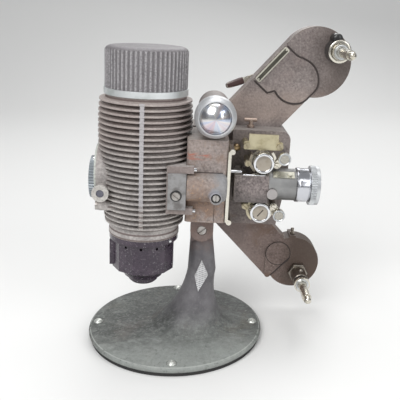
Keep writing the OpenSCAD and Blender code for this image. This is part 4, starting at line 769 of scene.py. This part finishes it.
# %% Beads
COVER_Y = ARM_Y - 0.8
DISC, DISC_R, HEEL = np.array([99.7, 68.5]), 11.6, np.array([91.0, 46.5])
heel_way = (HEEL - DISC) / np.linalg.norm(HEEL - DISC)
heel_side = np.array([-heel_way[1], heel_way[0]])
tail = np.linspace(DISC + DISC_R * heel_side, HEEL + 2.9 * heel_side, 24)
# Dark beads along the cover seams: dirt and painted shade in the gaps.
beads = [wire(on_head(standing(on_upper_arm(seam[:, 0], seam[:, 1]), COVER_Y)), 0.0008, 0.0003)]
beads += [wire(on_head(standing(DISC + DISC_R * ray, COVER_Y)), 0.00035, 0.0002, closed=True)]
beads += [wire(on_head(standing(tail, COVER_Y + 0.1)), 0.0006, 0.0003)]
# The block's cover gets the same dark beads along its top and bottom edges and down one joint: dirt and
# painted shade in its seams.
BLOCK_Y, COVER_Z, COVER_R = -37.0, 150.5, 12.0
JOINT_X, JOINT_TOP, JOINT_LOW = 33.8, 138.0, 120.4
for z in (COVER_Z - COVER_R, COVER_Z + COVER_R):
    beads += [wire(on_head(np.linspace([11.2, BLOCK_Y, z], [39.5, BLOCK_Y, z], 20)), 0.00055, 0.00035)]
joint = np.linspace([JOINT_X, BLOCK_Y, JOINT_TOP], [JOINT_X, BLOCK_Y, JOINT_LOW], 12)
beads += [wire(on_head(joint), 0.0002, 0.00015)]
piece("cover_seams", beads, "head", seam_paint)

# %% Blank plate on the upper arm
plate_frame = spun("plate_frame", rgb(0.6, 0.58, 0.5), rgb(0.42, 0.4, 0.34), 0.32, 0.6)
plate_field = moulded("plate_field", rgb(0.045, 0.042, 0.03), rgb(0.12, 0.11, 0.08), 0.4, 0.1)
outer = round_box(-46.3, -8.6, 23.8, 29.2, 1.3)
inner = round_box(-45.0, -9.9, 24.9, 28.1, 0.6)
framed = plate(on_upper_arm(outer[:, 0], outer[:, 1]), COVER_Y - 0.7, COVER_Y, 0.25)
field = plate(on_upper_arm(inner[:, 0], inner[:, 1]), COVER_Y - 0.85, COVER_Y - 0.4, 0.1)
pin_at = on_upper_arm(np.array([-44.4, -10.5]), np.array([26.5, 26.5]))
pin_profile = [(0, 0), (0, 0.5), (-0.35, 0.75), (-0.6, 0.45), (-0.65, 0)]
pins = [turned(pin_profile, (x, COVER_Y - 0.8, z), BACKWARD, 16) for x, z in pin_at]
frame_grids = [on_head(grid) for grid in [framed] + pins]
piece("arm_plate_frame", frame_grids, "head", plate_frame)
piece("arm_plate_field", [on_head(field)], "head", plate_field)

# %% [markdown]
# ## Sprocket faces and keeper knobs
# The sprockets' bright rims frame a brassy, slightly pink face; the lower one has a screwdriver slot.
# The keepers' knobs have a raised rim round a stippled face. A Screw modifier could spin their
# outlines, but a grid does it in one step from a profile of depth and radius. The slot is a narrow
# dark bar let into the face, which paints the shade inside the slot.

# %% Turned faces
SPROCKET_X, UPPER_Z, LOWER_Z, CAP_Y = 73.8, 168.6, 125.4, -23.0
pink_brass = plated("rubbed_brass", rgb(0.46, 0.415, 0.355), rgb(0.36, 0.31, 0.245), 0.32, 0.7, 160.0)
face_profile = [(1.15, 0), (1.15, 6.5), (0.5, 6.5), (0.35, 6.2), (0.25, 4.0), (0.2, 0)]
edge_profile = [(0.9, 8.3), (0.4, 8.75), (-0.1, 8.5), (-0.35, 8.0), (-0.35, 7.1), (0.0, 6.55), (0.9, 6.5)]
edge_profile += edge_profile[:1]
for name, z in (("upper_sprocket", UPPER_Z), ("lower_sprocket", LOWER_Z)):
    face_at = (SPROCKET_X, CAP_Y, z)
    piece(name + "_face", [on_head(turned(face_profile, face_at, BACKWARD, 48))], name, pink_brass)
    piece(name + "_rim", [on_head(turned(edge_profile, face_at, BACKWARD, 64))], name, chrome)
# Painted shade: a dark bar stands for the shade inside the screwdriver slot.
slot_line = np.linspace([SPROCKET_X - 2.4, LOWER_Z - 3.0], [SPROCKET_X + 2.4, LOWER_Z + 3.0], 8)
slot_bar = wire(on_head(standing(slot_line, CAP_Y + 0.32)), 0.0005, 0.0003)
piece("lower_sprocket_slot", [slot_bar], "lower_sprocket", seam_paint)

# %% Keeper knobs
KNOB_Y = -22.0
UPPER_KNOB = (SPROCKET_X + 17.1, KNOB_Y, UPPER_Z + 4.1)
LOWER_KNOB = (SPROCKET_X + 16.2, KNOB_Y, LOWER_Z - 2.2)
stipple = plated("stippled_nickel", rgb(0.5, 0.48, 0.43), rgb(0.34, 0.315, 0.27), 0.34, 0.6)
stipple.shade(Normal=stipple.bump(stipple.cells(1100.0), 0.0004, 0.9))
knob_dish = [(0.7, 0), (0.7, 3.7), (-0.1, 3.7), (-0.15, 3.3), (-0.12, 0)]
knob_rim = [(0.9, 3.5), (0.05, 3.6), (-0.5, 4.0), (-0.75, 4.5), (-0.6, 5.0), (0.0, 5.25), (0.8, 5.32)]
knob_rim += knob_rim[:1]
for name, knob_at in (("upper_keeper", UPPER_KNOB), ("lower_keeper", LOWER_KNOB)):
    piece(name + "_knob_face", [on_head(turned(knob_dish, knob_at, BACKWARD, 48))], name, stipple)
    piece(name + "_knob_rim", [on_head(turned(knob_rim, knob_at, BACKWARD, 48))], name, pale_satin)

# %% [markdown]
# ## Gate and lens trim
# A polished plate lies on the gate's upper face, a short stud stands out of the aperture plate, and a
# worn cap closes a bearing on the gear case. The lens has a bright ring where it meets its jacket and
# a shallow step before the focus ring. The plate is drawn like the arm's plate. Turning the object
# would lay it flat, but a finished piece stays unturned, so two axes of its points are swapped.

# %% Gate and lens trim
GATE_TOP, STRIP_X, CASE_Y = 157.8, 45.8, 8.0
top_plate = plate(round_box(56.8, 76.4, -22.2, -3.0, 1.2), GATE_TOP + 0.9, GATE_TOP, 0.3)[..., [0, 2, 1]]
piece("gate_top_plate", [on_head(top_plate)], "gate", chrome)
stud_profile = [(-0.2, 0), (-0.2, 1.2), (9.6, 1.2), (10.4, 0.9), (10.6, 0)]
stud = turned(stud_profile, (STRIP_X, -20.0, 160.4), (1, 0, 0), 20)
piece("plate_stud", [on_head(stud)], "head", chrome)
cap_turned = [(0.2, 0), (0.2, 3.1), (-3.2, 3.1), (-4.0, 2.7), (-4.6, 1.8), (-4.8, 0)]
bearing_cap = on_head(turned(cap_turned, (52.4, CASE_Y, 175.2), BACKWARD, 32))
cap_bronze = plated("cap_bronze", rgb(0.46, 0.34, 0.2), rgb(0.28, 0.195, 0.11), 0.36, 0.8)
piece("bearing_cap", [bearing_cap], "head", cap_bronze)
LENS_X = 103.3
ring_profile = [(0.15, 13.6), (0.15, 14.5), (0.5, 14.85), (2.9, 14.85), (3.4, 14.5), (10.6, 14.45)]
ring_profile += [(11.2, 14.2), (11.2, 13.6), (0.15, 13.6)]
lens_rings = on_head(turned(ring_profile, (LENS_X, FILM_Y, OPT_Z), (1, 0, 0), 72))
piece("lens_rings", [lens_rings], "lens", lens_chrome)

# %% [markdown]
# ## Spindle trim and the dome's bezel
# The feed spindle turns in a black bearing with a bright collar on its face and a dark oil cap beside
# it. The take-up spindle has a long bronzed sleeve behind a six-sided nut, with a set screw in it,
# and a pale washer lies on each flange. The pilot lamp's dome sits in a wide satin ring. All are
# turned. A six-sided cylinder would need a hole cut through it, while a ring profile turned in six
# steps is a nut that has its hole.

# %% Spindle trim
FEED, TAKEUP = (134.4, 259.4), (119.8, 50.5)
FEED_BEARING_Y, TAKEUP_BEARING_Y, FEED_FLANGE_Y, TAKEUP_FLANGE_Y = 12.3, 4.3, 6.0, -2.0


def on_spindle(profile, spindle, y, steps=48):
    """A profile turned about a spindle's axis, from depth y."""
    return on_head(turned(profile, (spindle[0], y, spindle[1]), BACKWARD, steps))


collar = [(0.1, 6.3), (-0.8, 6.4), (-1.0, 6.8), (-1.0, 8.8), (-0.6, 9.5), (0.1, 9.7), (0.1, 6.3)]
piece("feed_collar", [on_spindle(collar, FEED, FEED_BEARING_Y)], "head", nickel)
washer_ring = [(0.05, 4.05), (-0.7, 4.1), (-0.85, 4.5), (-0.85, 5.6), (-0.5, 6.0), (0.05, 6.1), (0.05, 4.05)]
for name, spindle, y in (("feed", FEED, FEED_FLANGE_Y), ("takeup", TAKEUP, TAKEUP_FLANGE_Y)):
    piece(name + "_washer", [on_spindle(washer_ring, spindle, y)], name + "_spindle", pale_satin)
oil_cap = [(0.1, 0), (0.1, 4.5), (-11.6, 4.5), (-12.4, 4.2), (-13.2, 3.2), (-13.6, 1.6), (-13.7, 0)]
oil_cap_grid = on_spindle(oil_cap, (FEED[0] - 1.8, FEED[1] + 10.2), ARM_Y, 40)
piece("feed_oil_cap", [oil_cap_grid], "head", black_moulding)
sleeve_low = [(0.2, 6.75), (0.2, 7.0), (0.5, 7.4), (1.6, 7.4), (2.0, 7.05), (17.0, 7.1), (24.7, 7.3)]
sleeve_low += [(24.7, 6.75), (0.2, 6.75)]
nut = [(24.7, 6.9), (24.7, 9.6), (20.4, 9.6), (19.8, 9.0), (19.8, 6.9), (24.7, 6.9)]
screw_profile = [(-0.4, 0), (-0.4, 2.2), (0.5, 2.2), (1.3, 1.7), (1.7, 0.9), (1.8, 0)]
set_screw = turned(screw_profile, (TAKEUP[0] + 0.6, 15.0, TAKEUP[1] + 7.0), (0, 0, 1), 24)
sleeve_grid = on_spindle(sleeve_low, TAKEUP, TAKEUP_BEARING_Y)
takeup_grids = [sleeve_grid, on_spindle(nut, TAKEUP, TAKEUP_BEARING_Y, 6), on_head(set_screw)]
piece("takeup_sleeve", takeup_grids, "head", bronzed)

# %% Dome bezel
satin = spun("dome_bezel_satin", rgb(0.6, 0.61, 0.625), rgb(0.46, 0.47, 0.48), 0.26, 0.65)
bezel = [(-0.8, 16.0), (-1.2, 16.7), (-7.0, 16.8), (-9.2, 16.2), (-11.6, 14.9), (-13.0, 13.5), (-13.1, 12.9)]
bezel += [(-12.6, 12.5), (-9.0, 14.9), (-4.0, 15.9), (-0.8, 16.0)]
bezel_grid = on_head(turned(bezel, (DOME_AT[0], DOME_AT[1] + 3.0, DOME_AT[2]), BACKWARD, 72))
piece("dome_bezel", [bezel_grid], "head", satin)

# %% [markdown]
# ## Lever sleeve, painted shade rings and small screws
# The rewind lever ends in a dark red-brown sleeve, flattened towards its tip. A stretched capsule
# would have the same section all along, so each station of the sleeve has its own half width and half
# thickness, and a power below one squares its oval section a little. Dark rings under two screw heads
# paint the shade in the recesses round them, and a few small domed screws hold the lamp base, the boss
# and the back cover.

# %% Lever sleeve
LEVER_ROOT, LEVER_TIP, LEVER_Y = np.array([80.0, 236.8]), np.array([44.8, 223.4]), 48.8
sleeve_brown = moulded("sleeve_brown", rgb(0.075, 0.038, 0.036), rgb(0.17, 0.12, 0.11), 0.4, 0.2)
reach_out = np.array([0.63, 0.63, 0.65, 0.72, 0.85, 0.97, 1.03, 1.075, 1.085])
half_wide = np.array([0.0, 2.8, 3.2, 3.3, 3.1, 2.85, 2.6, 1.6, 0.0])
half_thick = np.array([0.0, 1.7, 1.95, 2.1, 2.0, 1.85, 1.7, 1.1, 0.0])
lever_dir = (LEVER_TIP - LEVER_ROOT) / np.linalg.norm(LEVER_TIP - LEVER_ROOT)
lever_side = np.array([-lever_dir[1], lever_dir[0]])
t = np.linspace(0, 2 * np.pi, 28, endpoint=False)
middle = LEVER_ROOT + reach_out[:, None] * (LEVER_TIP - LEVER_ROOT)
rounded = [np.sign(w) * np.abs(w) ** 0.7 for w in (np.cos(t), np.sin(t))]
wide = middle[:, None] + half_wide[:, None, None] * rounded[0][None, :, None] * lever_side
sleeve = np.stack([wide[..., 0], LEVER_Y + half_thick[:, None] * rounded[1], wide[..., 1]], -1)
piece("lever_sleeve", [on_head(sleeve)], "rewind_lever", sleeve_brown)

# %% Shade rings and screws
# Painted shade: dark rings in the recesses round two screw heads.
washer = [(0.0, 2.9), (-0.45, 3.0), (-0.5, 4.2), (-0.2, 4.7), (0.0, 4.75), (0.0, 2.9)]
dark_shade_rings = [turned(washer, (2.4, -47.0, 145.0), BACKWARD, 40)]
dark_shade_rings += [turned(np.array(washer) * [1.6, 0.82], (34.5, -48.4, 145.0), BACKWARD, 40)]
piece("dark_shade_rings", [on_head(w) for w in dark_shade_rings], "head", black_moulding)
domed = np.array([(0.3, 0), (0.3, 1.0), (0.0, 1.0), (-0.35, 0.9), (-0.6, 0.55), (-0.7, 0)])
BOSS_X, COVER_BACK = -66.0, 50.0
COVER_SCREWS = [(17.0, 112.5), (17.0, 147.5), (17.0, 183.0), (92.0, 147.5), (92.0, 183.0), (85.0, 112.5)]
small = [(domed * [2.6, 2.2], (BOSS_X, -24.0, 167.5), (1, 0, 0))]
small += [(domed * [2.0, 1.9], (LAMP_X + 24.0, -26.8, 98.4), (-0.8, 0.6, 0))]
small += [(domed * [-2.4, 2.6], (x, COVER_BACK, z), BACKWARD) for x, z in COVER_SCREWS]
piece("small_screws", [on_head(turned(p, c, a, 20)) for p, c, a in small], "head", chrome)

# %% [markdown]
# ## Camera, floor and light
# The photograph was taken from a little above, about half a metre away. A pale floor sweeps up behind
# the machine, and broad lamps above and beside it keep the shadows soft. A picture of a room could
# light it and be mirrored too, but needs a file. Two dark cards beside the camera give chrome and
# nickel something to mirror instead.

# %% Camera
camera = bpy.data.objects.new("camera", bpy.data.cameras.new("camera"))
bpy.context.scene.collection.objects.link(camera)
CAMERA_TURN = 72.5
camera.location = (0.0235, -0.522, 0.2924)
camera.rotation_euler = (np.radians(CAMERA_TURN), 0, 0)
camera.data.sensor_width, camera.data.lens = 36.0, 55.8
camera.data.clip_start = 0.01
bpy.context.scene.camera = camera
print("camera looks down by", 90 - CAMERA_TURN, "degrees")


# %% Floor
def staged(name, grid, colour):
    """A sheet of the studio, made from a grid of points."""
    rows, columns = grid.shape[:2]
    index = np.arange(rows * columns).reshape(rows, columns)
    corners = (index[:-1, :-1], index[:-1, 1:], index[1:, 1:], index[1:, :-1])
    mesh = bpy.data.meshes.new(name)
    mesh.from_pydata(grid.reshape(-1, 3), [], np.stack(corners, -1).reshape(-1, 4))
    mesh.polygons.foreach_set("use_smooth", np.ones(len(mesh.polygons), bool))
    paper = Finish(name, Base_Color=colour, Roughness=0.85, Specular_IOR_Level=0.1)
    mesh.materials.append(paper.material)
    made = bpy.data.objects.new(name, mesh)
    bpy.context.scene.collection.objects.link(made)
    print(name, "faces:", len(mesh.polygons))
    return made


SWEEP_HALF, BEND_START, BEND_R, WALL_TOP = 30.0, 1.2, 1.0, 4.0
CARD_X, CARD_Y, CARD_Z = 0.9, (-0.9, 0.3), (0.05, 0.75)
bend = np.linspace(0, np.pi / 2, 24)
run = np.concatenate([[-SWEEP_HALF, 0.0], BEND_START + BEND_R * np.sin(bend), [BEND_START + BEND_R]])
rise = np.concatenate([[0.0, 0.0], BEND_R - BEND_R * np.cos(bend), [WALL_TOP]])
sweep_x = np.array([-SWEEP_HALF, SWEEP_HALF])
sweep = np.stack(np.broadcast_arrays(sweep_x[None], run[:, None], rise[:, None]), -1)
staged("studio_sweep", sweep, rgb(0.8, 0.8, 0.79))
for name, x in (("dark_card_left", -CARD_X), ("dark_card_right", CARD_X)):
    card = staged(name, np.array([[[x, y, z] for y in CARD_Y] for z in CARD_Z]), rgb(0.12, 0.12, 0.13))
    card.visible_camera = card.visible_diffuse = card.visible_shadow = False


# %% Light
def lamp(name, where, size, power):
    """A square area lamp at a point, turned to face the machine's middle."""
    data = bpy.data.lights.new(name, "AREA")
    data.size, data.energy = size, power
    made = bpy.data.objects.new(name, data)
    bpy.context.scene.collection.objects.link(made)
    made.location = where
    made.rotation_euler = (made.location - AIM).to_track_quat("Z", "Y").to_euler()
    print(name, power, "W")


AIM = Vector((0, 0, 0.15))
lamp("key_lamp", (-0.55, -1.0, 1.25), 0.9, 16.0)
lamp("fill_lamp", (1.1, -0.9, 0.7), 0.8, 7.0)
lamp("top_lamp", (0.1, 0.2, 1.6), 1.0, 10.0)
lamp("back_lamp", (0.3, 1.3, 1.1), 0.9, 6.0)
world = bpy.data.worlds.new("studio")
world.use_nodes = True
world.node_tree.nodes["Background"].inputs["Color"].default_value = rgb(0.82, 0.83, 0.85)
world.node_tree.nodes["Background"].inputs["Strength"].default_value = 0.4
bpy.context.scene.world = world
bpy.context.scene.view_settings.view_transform = "Standard"
